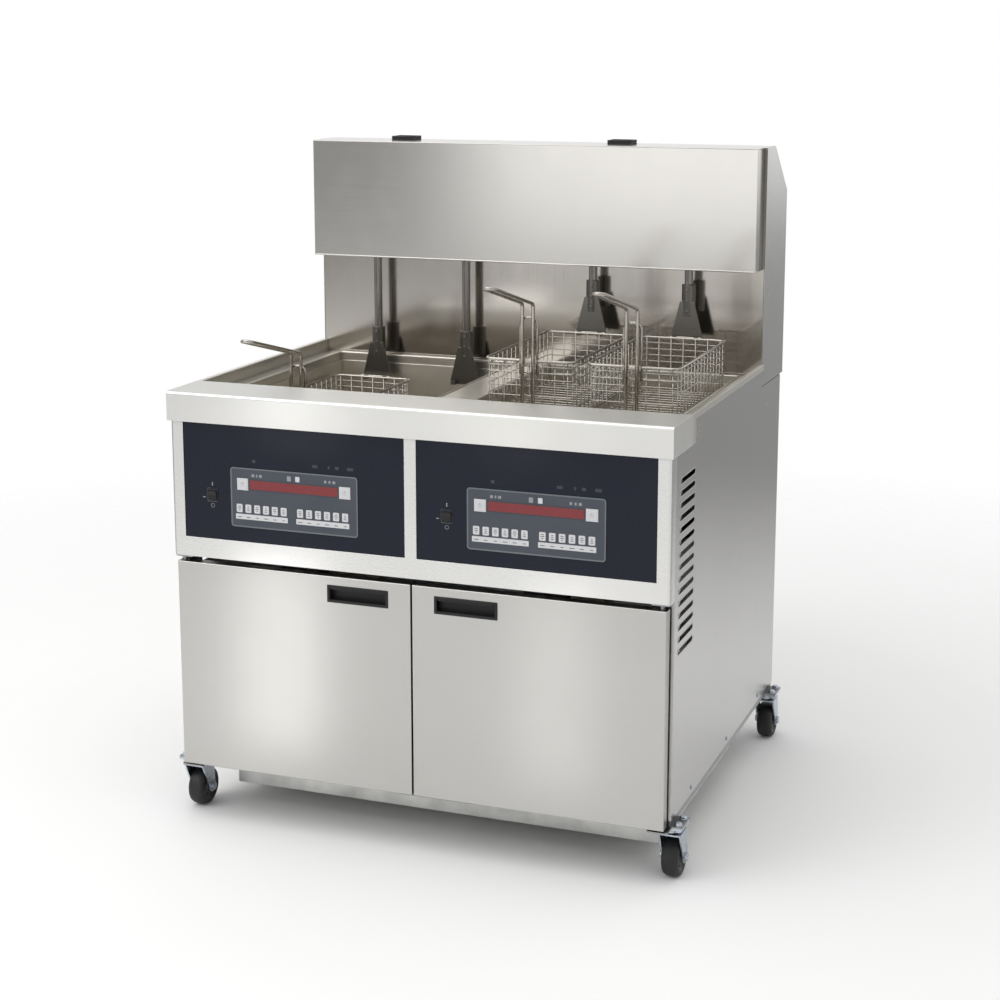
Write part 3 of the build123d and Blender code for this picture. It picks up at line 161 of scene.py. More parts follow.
def brushedSheet(
    name, tint, rough, stretch, smudge=4.0, contrast=0.01, edge=0.0012, stain=0.03, reach=0.014,
    shadeDarkest=0.25, frontTint=None, frontRough=0.0, frontFade=(0.0, 0.0),
):
    look = sheetLook
    material, tree, shader = startMaterial(name, 1.0)
    lines = grain(tree, stretch, 3.0)
    clouds = grain(tree, (smudge, smudge, smudge), 5.0)
    prints = grain(tree, [smudge * scale for scale in look["printScale"]], 4.0)
    base = streaks(tree, lines, tint, contrast)
    if frontTint:  # paler and rougher in front
        front = spread(tree, depth(tree), 1.0, 0.0, *frontFade)
        base = combine(tree, base, streaks(tree, lines, frontTint, contrast), "MIX", front)
    stained = (1 - stain, 1 - stain, 1 - look["yellowing"] * stain)
    film = tone(tree, clouds, [(0.3, stained), (0.62, (1.0, 1.0, 1.0))])
    # painted shade in seams and inside corners is multiplied into the base colour here
    tree.links.new(creviceShade(tree, combine(tree, base, film), reach, shadeDarkest), shader.inputs["Base Color"])
    fine = spread(tree, lines, rough - look["lineRough"], rough + look["lineRough"])
    broad = spread(tree, clouds, *look["cloudRough"])
    touched = spread(tree, prints, *look["printRough"], *look["printRange"])
    uneven = calculate(tree, "ADD", calculate(tree, "ADD", fine, broad), touched)
    if frontTint:
        uneven = calculate(tree, "ADD", uneven, calculate(tree, "MULTIPLY", front, frontRough))
    tree.links.new(uneven, shader.inputs["Roughness"])
    relief(tree, shader, lines, *look["grooves"], edge)
    return material


mouldLook = dict(clouds=9.0, dustShare=0.12, rough=(-0.06, 0.1), pores=(0.15, 0.0001), edge=0.0006)


def moulded(name, color, rough, speck=900.0, dust=0.12, gloss=0.5, coat=0.0):
    look = mouldLook
    material, tree, shader = startMaterial(name, gloss=gloss)
    shader.inputs["Coat Weight"].default_value = coat
    pores = grain(tree, (speck, speck, speck), 2.0)
    clouds = grain(tree, [look["clouds"]] * 3, 5.0)
    lighter = tuple(c + dust * look["dustShare"] for c in color)
    tree.links.new(tone(tree, clouds, [(0.35, color), (0.75, lighter)]), shader.inputs["Base Color"])
    uneven = spread(tree, clouds, *(rough + change for change in look["rough"]))
    tree.links.new(uneven, shader.inputs["Roughness"])
    relief(tree, shader, pores, *look["pores"], look["edge"])
    return material


castLook = dict(clouds=14.0, dark=0.75, light=1.2, rough=(-0.08, 0.12), bumpDepth=0.0004, edge=0.001)


def castMetal(name, color, rough, lumps=260.0, metallic=1.0, strength=0.5):
    look = castLook
    material, tree, shader = startMaterial(name, metallic)
    bumps = grain(tree, (lumps, lumps, lumps), 4.0)
    clouds = grain(tree, [look["clouds"]] * 3, 6.0)
    dark, light = shade(color, look["dark"]), shade(color, look["light"])
    base = tone(tree, clouds, [(0.3, dark), (0.55, color), (0.75, light)])
    tree.links.new(base, shader.inputs["Base Color"])
    uneven = spread(tree, bumps, *(rough + change for change in look["rough"]))
    tree.links.new(uneven, shader.inputs["Roughness"])
    relief(tree, shader, bumps, strength, look["bumpDepth"], look["edge"])
    return material


liftLook = dict(
    rod=(0.34, 0.325, 0.31), plate=(0.17, 0.163, 0.148), plateBack=doorFace + 0.6512,
    lines=(700, 700, 40), clouds=(30, 30, 12), streak=0.05, plateTones=(0.8, 1.15),
    rough=(0.12, 0.18), plateRough=0.2, grooves=(0.06, 0.00005), edge=0.0006,
)


def liftSteel(name):
    # Polished rod behind, darker hanger plate and hooks in front of plateBack
    look = liftLook
    material, tree, shader = startMaterial(name, 1.0)
    front = calculate(tree, "LESS_THAN", depth(tree), look["plateBack"])
    lines = grain(tree, look["lines"], 3.0)
    clouds = grain(tree, look["clouds"], 5.0)
    bright = streaks(tree, lines, look["rod"], look["streak"])
    low, high = (shade(look["plate"], factor) for factor in look["plateTones"])
    dark = tone(tree, clouds, [(0.3, low), (0.7, high)])
    tree.links.new(combine(tree, bright, dark, "MIX", front), shader.inputs["Base Color"])
    rougher = calculate(tree, "MULTIPLY", front, look["plateRough"])
    uneven = spread(tree, clouds, *look["rough"])
    tree.links.new(calculate(tree, "ADD", uneven, rougher), shader.inputs["Roughness"])
    relief(tree, shader, lines, *look["grooves"], look["edge"])
    return material


finishes = {
    "frontSheet": dict(tint=(0.74, 0.735, 0.72), rough=0.26, stretch=(6, 1500, 1500)),
    "hoodSheet": dict(tint=(0.60, 0.585, 0.56), rough=0.18, stretch=(6, 1500, 1500), smudge=2.5),
    "doorSheet": dict(tint=(0.535, 0.527, 0.508), rough=0.30, stretch=(6, 1500, 1500), smudge=3.0),
    "sideSheet": dict(tint=(0.58, 0.575, 0.565), rough=0.24, stretch=(1500, 6, 1500), smudge=3.0),
    "deckSheet": dict(
        tint=(0.75, 0.725, 0.665), rough=0.31, stretch=(6, 1500, 1500), stain=0.05, shadeDarkest=0.5,
        frontTint=(0.755, 0.75, 0.728), frontRough=0.08, frontFade=(doorFace + 0.119, doorFace + 0.127),
    ),
    "mirrorSheet": dict(tint=(0.58, 0.55, 0.51), rough=0.13, stretch=(1500, 1500, 6)),
    "vatSheet": dict(
        tint=(0.84, 0.80, 0.73), rough=0.32, stretch=(9, 9, 900), smudge=9.0, stain=0.08, shadeDarkest=0.5,
    ),
    # Painted shade: the frame steel is tinted darker and its painted corner shade reaches further, so the
    # inside seen through the louvres looks dark
    "frameAngle": dict(
        tint=(0.36, 0.36, 0.36), rough=0.36, stretch=(80, 80, 80), contrast=0.06, reach=0.05,
    ),
    "platedWire": dict(
        tint=(0.44, 0.415, 0.375), rough=0.24, stretch=(200, 200, 200), contrast=0.10, edge=0, smudge=14.0,
        shadeDarkest=0.6,
    ),
    "zincPlate": dict(
        tint=(0.52, 0.57, 0.64), rough=0.27, stretch=(120, 120, 120), contrast=0.08, smudge=20.0,
        edge=0.0008,
    ),
    "gearSteel": dict(tint=(0.45, 0.45, 0.46), rough=0.33, stretch=(500, 60, 60), contrast=0.08, edge=0),
    "threadSteel": dict(tint=(0.16, 0.155, 0.15), rough=0.34, stretch=(60, 900, 60), contrast=0.10, edge=0),
    "hangerSteel": dict(
        tint=(0.17, 0.163, 0.148), rough=0.30, stretch=(90, 90, 900), contrast=0.05, smudge=18.0,
        edge=0.0006,
    ),
}
paint = {name: brushedSheet(name, **look) for name, look in finishes.items()}
paint["liftSteel"] = liftSteel("liftSteel")
plastics = {
    "navyPanel": dict(
        color=(0.0060, 0.0080, 0.0195), rough=0.24, speck=1400.0, dust=0.015, gloss=0.26,
    ),
    "slateKeypad": dict(
        color=(0.057, 0.065, 0.083), rough=0.40, speck=1600.0, dust=0.10, gloss=0.35,
    ),
    "slateRim": dict(color=(0.135, 0.15, 0.165), rough=0.36, speck=1600.0, dust=0.10),
    "redWindow": dict(color=(0.20, 0.016, 0.020), rough=0.24, speck=1500.0, dust=0.05, coat=0.15),
    "whiteKey": dict(color=(0.62, 0.62, 0.635), rough=0.38, dust=0.05),
    "paleMark": dict(color=(0.28, 0.29, 0.31), rough=0.42, dust=0.05),
    "dimMark": dict(color=(0.030, 0.034, 0.045), rough=0.40, dust=0.03),
    "darkMark": dict(color=(0.035, 0.04, 0.046), rough=0.45, dust=0.05),
    "blackPlastic": dict(
        color=(0.010, 0.010, 0.010), rough=0.44, speck=1200.0, dust=0.06, gloss=0.35,
    ),
    "tyreRubber": dict(color=(0.008, 0.008, 0.009), rough=0.55, speck=700.0, dust=0.05),
    "hubPlastic": dict(color=(0.020, 0.020, 0.023), rough=0.38, speck=700.0, dust=0.06),
    "flueBlack": dict(color=(0.014, 0.013, 0.013), rough=0.62, speck=500.0, dust=0.20),
    "redLever": dict(color=(0.42, 0.018, 0.014), rough=0.36, dust=0.1),
}
castings = {
    "blackPipe": dict(color=(0.045, 0.044, 0.043), rough=0.48, metallic=0.4, strength=0.25),
    "burnerCast": dict(color=(0.13, 0.115, 0.10), rough=0.62, metallic=0.7),
    "valveBrass": dict(color=(0.55, 0.40, 0.17), rough=0.34, strength=0.2),
    "motorBlack": dict(color=(0.03, 0.03, 0.033), rough=0.42, metallic=0.3, strength=0.3),
    # Partly painted light: the pan's grey is made paler than its own colour to make up for the shadow it
    # sits in
    "panGrey": dict(color=(0.74, 0.74, 0.72), rough=0.40, lumps=120.0, strength=0.1),
}
paint.update({name: moulded(name, **look) for name, look in plastics.items()})
paint.update({name: castMetal(name, **look) for name, look in castings.items()})
print("finishes:", len(paint))

nodeFinish = {
    "base_frame": "frameAngle", "left_side_panel": "sideSheet", "right_side_panel": "sideSheet",
    "rear_panel": "frontSheet", "front_frame": "frontSheet", "top_deck": "deckSheet",
    "left_vat": "vatSheet", "right_vat": "vatSheet", "burners": "burnerCast", "flues": "flueBlack",
    "gas_train": "blackPipe", "backsplash": "mirrorSheet", "lift_hood": "hoodSheet",
    "end_panels": "sideSheet", "hood_rear_cover": "hoodSheet", "control_panels": "navyPanel",
    "keypads": "slateKeypad", "display_windows": "redWindow", "lift_drives": "motorBlack",
    "hinge_brackets": "frameAngle", "caster_plates": "zincPlate", "fasteners": "zincPlate",
    "drain_valves": "valveBrass", "filter_pump": "motorBlack", "oil_return_line": "frameAngle",
    "left_door": "doorSheet", "right_door": "doorSheet", "left_door_pull": "blackPlastic",
    "right_door_pull": "blackPlastic", "filter_pan": "panGrey", "filter_screen": "frameAngle",
}
endings = {
    "_caster_fork": "zincPlate", "_brake_pedal": "zincPlate", "_caster_wheel": "tyreRubber",
    "_power_switch": "blackPlastic", "_drain_handle": "redLever",
}
for name, node in nodes.items():
    finish = nodeFinish.get(name)
    for ending, choice in endings.items():
        if name.endswith(ending):
            finish = choice
    if "timer_button" in name:
        finish = "whiteKey"
    if name.startswith("lift_pinion"):
        finish = "gearSteel"
    elif name.startswith("lift_") and finish is None:
        finish = "liftSteel"
    elif name.startswith("basket"):
        finish = "platedWire"
    node.data.materials.clear()
    node.data.materials.append(paint[finish])
print("CAD nodes painted")


def putInScene(name, data):
    thing = bpy.data.objects.new(name, data)
    bpy.context.scene.collection.objects.link(thing)
    return thing


def addPiece(name, bm, finish, body, smooth=False):
    bmesh.ops.recalc_face_normals(bm, faces=bm.faces)
    for face in bm.faces:
        face.smooth = smooth
    mesh = bpy.data.meshes.new(name)
    bm.to_mesh(mesh)
    bm.free()
    piece = putInScene(name, mesh)
    mesh.materials.append(paint[finish])
    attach(piece, body)
    return piece


def edgesOf(verts):
    return list(dict.fromkeys(e for v in verts for e in v.link_edges))


wireLook = dict(bendShare=0.49, weldShare=0.05)  # of a run beside a bend, of the radius


def runWire(bm, points, radius, bend, sides=8, closed=False, steps=4):
    corners = [Vector(p) for p in points]
    if closed:  # start and stop in the middle of the last run
        middle = (corners[-1] + corners[0]) / 2
        corners = [middle, *corners, middle]
    way = (corners[1] - corners[0]).normalized()
    turn = way.to_track_quat("Z", "Y").to_matrix().to_4x4()
    start = Matrix.Translation(corners[0]) @ turn
    ring = bmesh.ops.create_circle(bm, segments=sides, radius=radius, cap_ends=not closed, matrix=start)
    edges = edgesOf(ring["verts"])
    place = corners[0]
    firstVerts = list(ring["verts"])
    for i in range(1, len(corners)):
        way = (corners[i] - corners[i - 1]).normalized()
        cut = 0.0
        if i < len(corners) - 1:
            after = (corners[i + 1] - corners[i]).normalized()
            angle = way.angle(after)
            room = min((corners[i] - corners[i - 1]).length, (corners[i + 1] - corners[i]).length)
            cut = min(bend * math.tan(angle / 2), room * wireLook["bendShare"])
        run = (corners[i] - way * cut - place).dot(way)
        if run > tiny:
            grown = bmesh.ops.extrude_edge_only(bm, edges=edges)["geom"]
            verts = [g for g in grown if isinstance(g, bmesh.types.BMVert)]
            edges = [g for g in grown if isinstance(g, bmesh.types.BMEdge)]
            edges = [e for e in edges if all(v in verts for v in e.verts)]
            bmesh.ops.translate(bm, verts=verts, vec=way * run)
            place = place + way * run
        if cut > 0:
            axis = way.cross(after).normalized()
            curve = cut / math.tan(angle / 2)
            center = place + axis.cross(way) * curve
            spun = bmesh.ops.spin(
                bm, geom=edges, cent=center, axis=axis, angle=angle, steps=steps, use_duplicate=False,
            )
            edges = [g for g in spun["geom_last"] if isinstance(g, bmesh.types.BMEdge)]
            place = center + Matrix.Rotation(angle, 3, axis) @ (place - center)
    if closed:
        lastVerts = list(dict.fromkeys(v for e in edges for v in e.verts))
        weld = radius * wireLook["weldShare"]
        bmesh.ops.remove_doubles(bm, verts=firstVerts + lastVerts, dist=weld)
    else:
        bmesh.ops.contextual_create(bm, geom=edges)


def turned(bm, profile, base, way, steps=28):
    # Lathe form: (radius, height) points, heights along way from base
    frameMatrix = Matrix.Translation(base) @ Vector(way).to_track_quat("Z", "Y").to_matrix().to_4x4()
    verts = [bm.verts.new(frameMatrix @ Vector((radius, 0, height))) for radius, height in profile]
    edges = [bm.edges.new(pair) for pair in zip(verts, verts[1:])]
    center = frameMatrix.translation
    axis = frameMatrix.to_3x3() @ Vector((0, 0, 1))
    before = set(bm.verts) - set(verts)
    bmesh.ops.spin(
        bm, geom=verts + edges, cent=center, axis=axis, angle=math.tau, steps=steps, use_merge=True,
        use_duplicate=False,
    )
    bmesh.ops.remove_doubles(bm, verts=[v for v in bm.verts if v not in before], dist=tiny)


def soften(bm, edges, offset, segments):
    return bmesh.ops.bevel(
        bm, geom=edges, offset=offset, offset_type="OFFSET", affect="EDGES", segments=segments,
        profile=0.5, material=-1,
    )


def softBlock(bm, low, high, edge, segments=2):
    low, high = Vector(low), Vector(high)
    size = high - low
    matrix = Matrix.Translation((low + high) / 2) @ Matrix.Diagonal((*size, 1))
    made = bmesh.ops.create_cube(bm, size=1.0, matrix=matrix)
    soften(bm, edgesOf(made["verts"]), edge, segments)


def blockAt(bm, x, y, z, size, edge):
    # Block centered on x and z that reaches back from y
    wide, deep, tall = size
    softBlock(bm, (x - wide / 2, y, z - tall / 2), (x + wide / 2, y + deep, z + tall / 2), edge)


def facePad(bm, x, z, width, height, radius, back, front, edge=0.0):
    # Rounded pad that faces the front, from y back to y front; returns its front face
    size = Matrix.Diagonal((width, back - front, height, 1))
    matrix = Matrix.Translation((x, (back + front) / 2, z)) @ size
    made = bmesh.ops.create_cube(bm, size=1.0, matrix=matrix)
    edges = edgesOf(made["verts"])
    upright = [e for e in edges if abs(e.verts[0].co.y - e.verts[1].co.y) > (back - front) / 2]
    rounded = soften(bm, upright, radius, 3)
    faces = {f for v in rounded["verts"] for f in v.link_faces}
    face = min(faces, key=lambda f: f.calc_center_median().y)
    if edge:
        soften(bm, face.edges[:], edge, 2)
    return face


def faceRing(bm, x, z, width, height, radius, band, back, front, sunk=0.9):
    # Rounded frame that faces the front, sunk inside its band
    face = facePad(bm, x, z, width, height, radius, back, front)
    bmesh.ops.inset_region(bm, faces=[face], thickness=band, use_even_offset=True)
    bmesh.ops.translate(bm, verts=face.verts[:], vec=(0, (back - front) * sunk, 0))


basketLook = dict(
    width=0.187, length=0.380, height=0.118, backGap=0.0135,
    rimWire=0.0030, meshWire=0.0011, frameWire=0.0020, corner=0.016,
    rows=(-0.014, -0.027, -0.040, -0.053, -0.073, -0.094),
    crossStep=0.0235, longStep=0.0232, endGap=0.015, meshBend=0.006,
    gripWire=0.0035, gripHalf=0.011, gripRise=0.110, gripReach=0.215, gripTilt=0.055, gripGap=0.0005,
    gripFoot=0.006, gripBend=0.0105,
    braceWire=0.0030, braceHalf=0.017, braceRise=0.082, braceDrop=0.03, braceBend=0.014,
    barHalf=0.037, barWire=0.0030, barRoot=0.004, barBend=0.005,
    clip=(0.036, 0.0045, 0.010), clipDrop=0.004, clipRise=0.012, clipEdge=0.0008,
)


def wireBasket(number):
    look = basketLook
    low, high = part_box(f"basket_{number}")
    midX = (low.x + high.x) / 2
    back = high.y - look["backGap"]
    front = back - look["length"]
    bottom = low.z
    rim = bottom + look["height"]
    half = look["width"] / 2
    bm = bmesh.new()

    def loop(z, wire, inset):
        x0, x1 = midX - half + inset, midX + half - inset
        y0, y1 = front + inset, back - inset
        corners = [(x0, y0, z), (x1, y0, z), (x1, y1, z), (x0, y1, z)]
        runWire(bm, corners, wire, look["corner"] - inset, 8, True, 5)

    loop(rim - look["rimWire"], look["rimWire"], look["rimWire"])
    inner = 2 * look["rimWire"] - look["meshWire"]
    for row in look["rows"]:
        loop(rim + row, look["meshWire"], inner)
    loop(bottom + look["frameWire"], look["frameWire"], inner + look["meshWire"])
    wall = inner + 2 * look["meshWire"]
    top = rim - look["rimWire"]
    floor = bottom + 2 * look["frameWire"] + look["meshWire"]
    gap = look["endGap"]
    span = look["length"] - 2 * gap
    count = int(span / look["crossStep"])
    for i in range(count + 1):
        y = front + gap + i * span / count
        x0, x1 = midX - half + wall, midX + half - wall
        staple = [(x0, y, top), (x0, y, floor), (x1, y, floor), (x1, y, top)]
        runWire(bm, staple, look["meshWire"], look["meshBend"], 6, False, 3)
    span = look["width"] - 2 * gap
    count = int(span / look["longStep"])
    floor -= 2 * look["meshWire"]
    for i in range(count + 1):
        x = midX - half + gap + i * span / count
        y0, y1 = front + wall, back - wall
        staple = [(x, y0, top), (x, y0, floor), (x, y1, floor), (x, y1, top)]
        runWire(bm, staple, look["meshWire"], look["meshBend"], 6, False, 3)
    # long handle in front, with its brace
    wireY = front - look["gripWire"] - look["gripGap"]
    grip = look["gripHalf"]
    knee = rim + look["gripRise"]
    tip = Vector((0, wireY - look["gripReach"], knee + look["gripTilt"]))
    foot = bottom + look["gripFoot"]
    runWire(bm, [
        (midX - grip, wireY, foot), (midX - grip, wireY, knee), (midX - grip, tip.y, tip.z),
        (midX + grip, tip.y, tip.z), (midX + grip, wireY, knee), (midX + grip, wireY, foot),
    ], look["gripWire"], look["gripBend"], 10, False, 6)
    brace = look["braceHalf"]
    braceY = front + look["rimWire"]
    z0, z1 = rim - look["braceDrop"], rim + look["braceRise"]
    runWire(bm, [
        (midX - brace, braceY, z0), (midX - brace, braceY, z1),
        (midX + brace, braceY, z1), (midX + brace, braceY, z0),
    ], look["braceWire"], look["braceBend"], 10, False, 5)
    # bar at the back that hangs on the lift
    bar = look["barHalf"]
    y0, y1 = back - look["barRoot"], high.y - look["barWire"]
    z = rim - look["barWire"]
    corners = [(midX - bar, y0, z), (midX - bar, y1, z), (midX + bar, y1, z), (midX + bar, y0, z)]
    runWire(bm, corners, look["barWire"], look["barBend"], 8, False, 4)
    # flat clips between handle and basket
    clipY = front - look["gripGap"] - look["clip"][1] / 2
    for z in (rim - look["clipDrop"], bottom + look["clipRise"]):
        blockAt(bm, midX, clipY, z, look["clip"], look["clipEdge"])
    piece = addPiece(f"wire_basket_{number}", bm, "platedWire", f"basket_{number}", True)
    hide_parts(f"basket_{number}")


for number in (1, 2, 3):
    wireBasket(number)
print("wire baskets done")


hangerLook = dict(
    grow=0.0003, sheet=0.003, hookDrop=0.0095, tall=0.072, topHalf=0.015, lowHalf=0.033, edge=0.0005,
    clampRadius=0.0144, clampDrop=0.030, clampRise=0.036, clampEdge=0.001, bore=0.0092, face=0.648,
    rod=0.660,
    screw=((0.0, 0.0022), (0.0024, 0.0022), (0.0032, 0.0014), (0.0032, -0.001)),
    screwRise=(0.010, 0.032, 0.054),
)


def hanger(number):
    look = hangerLook
    low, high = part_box(f"lift_{number}")
    midX = (low.x + high.x) / 2
    rim = low.z + look["hookDrop"]
    top = rim + look["tall"]
    grow = look["grow"]
    bm = bmesh.new()
    # plate: straight at the hooks, narrower towards the rod
    half = look["lowHalf"] + grow
    y0 = doorFace + look["face"] - grow
    corner = (midX + half, y0 + look["sheet"] + 2 * grow, top + grow)
    softBlock(bm, (midX - half, y0, low.z - grow), corner, look["edge"], 1)
    geom = bm.verts[:] + bm.edges[:] + bm.faces[:]
    bmesh.ops.bisect_plane(bm, geom=geom, plane_co=(0, 0, rim), plane_no=(0, 0, 1))
    upper = [v for v in bm.verts if v.co.z > rim + look["tall"] / 2]
    taper = (look["topHalf"] + grow) / half
    bmesh.ops.scale(bm, vec=(taper, 1, 1), space=Matrix.Translation((-midX, 0, 0)), verts=upper)
    # clamp on the rod with its pinch screws
    radius = look["clampRadius"]
    base = Vector((midX, doorFace + look["rod"], top - look["clampDrop"]))
    tall = look["clampDrop"] + look["clampRise"]
    edge = look["clampEdge"]
    ends = [(look["bore"], 0), (radius - edge, 0), (radius, edge)]
    profile = ends + [(r, tall - h) for r, h in reversed(ends)]
    turned(bm, profile, base, (0, 0, 1))
    for rise in look["screwRise"]:
        turned(bm, look["screw"], base + Vector((0, -radius, rise)), (0, -1, 0), 12)
    addPiece(f"hanger_{number}", bm, "hangerSteel", f"lift_{number}")


for number in (1, 2, 3, 4):
    hanger(number)
print("hangers done")


keypadLook = dict(
    centers=(-0.243, 0.249), z=0.676, face=doorFace + 0.0003, seat=0.0003, proud=0.0004, softEdge=0.0002,
    outline=(0.270, 0.118, 0.006, 0.0042),  # width, height, corner, band
    keyGroups=(-0.126, 0.004), keys=6, keyStep=0.019, keySize=(0.0128, 0.0165, 0.002), keyZ=-0.0215,
    keyProud=0.0005, stripZ=-0.038, stripSize=(0.112, 0.0105, 0.0012),
    display=(0.191, 0.0215, 0.0022, 0.0016), displayZ=0.0265, displayProud=0.0003,
    lamps=((-0.009, 0.0085, 0.0100), (0.009, 0.0090, 0.0105)), lampZ=0.045, lampRadius=0.0012,
    marks=(
        (-0.086, 0.006), (-0.078, 0.003), (-0.070, 0.006), (0.068, 0.005), (0.077, 0.004), (0.086, 0.006),
    ),
    markTall=0.0055, markRadius=0.0008,
    faint=((-0.084, 0.007), (0.046, 0.011), (0.075, 0.004), (0.092, 0.008), (0.120, 0.013)), faintZ=0.073,
    faintTall=0.006,
)
signLook = dict(
    bars=3, shortBar=0.0035, longerBy=0.0012, barStep=0.0036, barTall=0.0011, barDepth=(0.0004, 0.0006),
    longLine=0.0095, shorterBy=0.0018, lineDrop=0.0008, lineTall=0.0012, lineDepth=(0.0003, 0.0005),
    radius=0.0004,
)
switchLook = dict(
    center=0.246, offset=-0.1725, panel=doorFace + 0.0015, seat=0.0003,
    frame=(0.0245, 0.0285, 0.0034, 0.0026), frameProud=0.0012, lineMark=(0.0022, 0.0075, 0.0006),
    sideMark=(0.006, 0.0018, 0.0006), ringMark=(0.0080, 0.0080, 0.0039, 0.0014), markRise=0.0215,
    sideReach=0.0185, sideDrop=0.006,
)
rim, whites, pales, dims, darks = (bmesh.new() for _ in range(5))
for side, midX in zip((-1, 1), keypadLook["centers"]):
    look, sign, switch = keypadLook, signLook, switchLook
    face = look["face"]
    z = look["z"]
    keyZ, stripZ, lampZ = z + look["keyZ"], z + look["stripZ"], z + look["lampZ"]
    back, front = face + look["seat"], face - look["proud"]
    edge = look["softEdge"]
    faceRing(rim, midX, z, *look["outline"], back, front)
    faceRing(darks, midX, z + look["displayZ"], *look["display"], back, face - look["displayProud"])
    for group in look["keyGroups"]:
        places = [midX + group + (i + 0.5) * look["keyStep"] for i in range(look["keys"])]
        for i, x in enumerate(places):
            facePad(whites, x, keyZ, *look["keySize"], back, face - look["keyProud"], edge)
            # a small sign on each key: bars of different length
            low, high = (face - sink for sink in sign["barDepth"])
            for k in range(sign["bars"]):
                reach = sign["shortBar"] + sign["longerBy"] * ((i * 2 + k * 3) % 4)
                barZ = keyZ + (k - 1) * sign["barStep"]
                facePad(darks, x, barZ, reach, sign["barTall"], sign["radius"], low, high)
        stripX = midX + group + look["keys"] / 2 * look["keyStep"]
        facePad(whites, stripX, stripZ, *look["stripSize"], back, front, edge)
        low, high = (face - sink for sink in sign["lineDepth"])
        for i, x in enumerate(places):
            reach = sign["longLine"] - sign["shorterBy"] * (i % 3)
            facePad(darks, x, stripZ - sign["lineDrop"], reach, sign["lineTall"], sign["radius"], low, high)
    # lamps and small marks round the display
    for (x, wide, tall), bm in zip(look["lamps"], (pales, whites)):
        facePad(bm, midX + x, lampZ, wide, tall, look["lampRadius"], back, front, edge)
    for x, wide in look["marks"]:
        facePad(pales, midX + x, lampZ, wide, look["markTall"], look["markRadius"], back, front)
    panel = switch["panel"]
    back, front = panel + switch["seat"], panel - switch["seat"]
    for x, wide in look["faint"]:
        size = (wide, look["faintTall"], look["markRadius"])
        facePad(dims, midX + x, z + look["faintZ"], *size, back, front)
    # rocker frame with a line mark above, a short one beside and a ring mark below
    switchX = side * switch["center"] + switch["offset"]
    faceRing(dims, switchX, z, *switch["frame"], back, panel - switch["frameProud"])
    facePad(pales, switchX, z + switch["markRise"], *switch["lineMark"], back, front)
    sideX = switchX - switch["sideReach"]
    facePad(pales, sideX, z - switch["sideDrop"], *switch["sideMark"], back, front)
    faceRing(pales, switchX, z - switch["markRise"], *switch["ringMark"], back, front)
addPiece("keypad_rims", rim, "slateRim", "cabinet")
addPiece("keypad_keys", whites, "whiteKey", "cabinet")
addPiece("panel_marks", pales, "paleMark", "cabinet")
addPiece("panel_faint_marks", dims, "dimMark", "cabinet")
addPiece("keypad_signs", darks, "darkMark", "cabinet")
timerLook = dict(
    pad=(0.0185, 0.0185, 0.003), padSink=0.0002, padProud=0.0003, softEdge=0.0002,
    ring=(0.0070, 0.0070, 0.0034, 0.0010), bar=(0.0010, 0.0040, 0.0004), barRise=0.0028,
    signDepth=(0.0002, 0.0004),
)
for label in ("left", "right"):
    for number in (1, 2):
        look = timerLook
        low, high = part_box(f"{label}_timer_button_{number}")
        bm = bmesh.new()
        midX, midZ = (low.x + high.x) / 2, (low.z + high.z) / 2
        back, front = low.y + look["padSink"], low.y - look["padProud"]
        facePad(bm, midX, midZ, *look["pad"], back, front, look["softEdge"])
        addPiece(f"{label}_timer_pad_{number}", bm, "whiteKey", f"{label}_timer_button_{number}")
        bm = bmesh.new()
        back, front = (low.y - sink for sink in look["signDepth"])
        faceRing(bm, midX, midZ, *look["ring"], back, front)
        facePad(bm, midX, midZ + look["barRise"], *look["bar"], back, front)
        addPiece(f"{label}_timer_sign_{number}", bm, "paleMark", f"{label}_timer_button_{number}")
print("control panels dressed")


pullLook = dict(
    wire=0.0013, corner=0.003, sink=0.0006, inset=0.001, lipInset=0.006, lipDrop=0.0058, lipFront=0.0008,
    lipBack=0.006, lipBelow=0.003, lipAbove=0.001, lipEdge=0.0012,
)
doorLook = dict(
    sheet=0.0012, side=0.0014, channel=(0.34, 0.011, 0.034), channelZ=0.29, channelEdge=0.003,
    plate=(0.0022, 0.017, 0.060), plateInset=0.06, plateGap=0.002, plateEdge=0.0006,
    catch=(0.032, 0.012, 0.018), catchInset=(0.035, 0.031), catchEdge=0.0015,
)
for label, side in (("left", -1), ("right", 1)):
    look = pullLook
    low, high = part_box(f"{label}_door_pull")
    bm = bmesh.new()
    y = low.y + look["sink"]
    inset = look["inset"]
    x0, x1, z0, z1 = low.x + inset, high.x - inset, low.z + inset, high.z - inset
    corners = [(x0, y, z0), (x1, y, z0), (x1, y, z1), (x0, y, z1)]
    runWire(bm, corners, look["wire"], look["corner"], 8, True, 3)
    lipZ = high.z - look["lipDrop"]
    lipLow = (low.x + look["lipInset"], low.y + look["lipFront"], lipZ - look["lipBelow"])
    lipHigh = (high.x - look["lipInset"], low.y + look["lipBack"], lipZ + look["lipAbove"])
    softBlock(bm, lipLow, lipHigh, look["lipEdge"])
    addPiece(f"{label}_pull_edge", bm, "blackPlastic", f"{label}_door", True)
    look = doorLook
    low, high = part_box(f"{label}_door")
    midX = (low.x + high.x) / 2
    bm = bmesh.new()
    skin = low.y + look["sheet"]
    blockAt(bm, midX, skin, look["channelZ"], look["channel"], look["channelEdge"])
    # hinge stiffeners at the outer edge, catch plate at the meeting edge
    outer, meeting = (low.x, high.x) if side < 0 else (high.x, low.x)
    x = outer - side * (look["side"] + look["plate"][0] / 2)
    for z in (low.z + look["plateInset"], high.z - look["plateInset"]):
        blockAt(bm, x, skin + look["plateGap"], z, look["plate"], look["plateEdge"])
    insetX, insetZ = look["catchInset"]
    blockAt(bm, meeting + side * insetX, skin, high.z - insetZ, look["catch"], look["catchEdge"])
    addPiece(f"{label}_door_inner", bm, "frameAngle", f"{label}_door")
print("doors dressed")


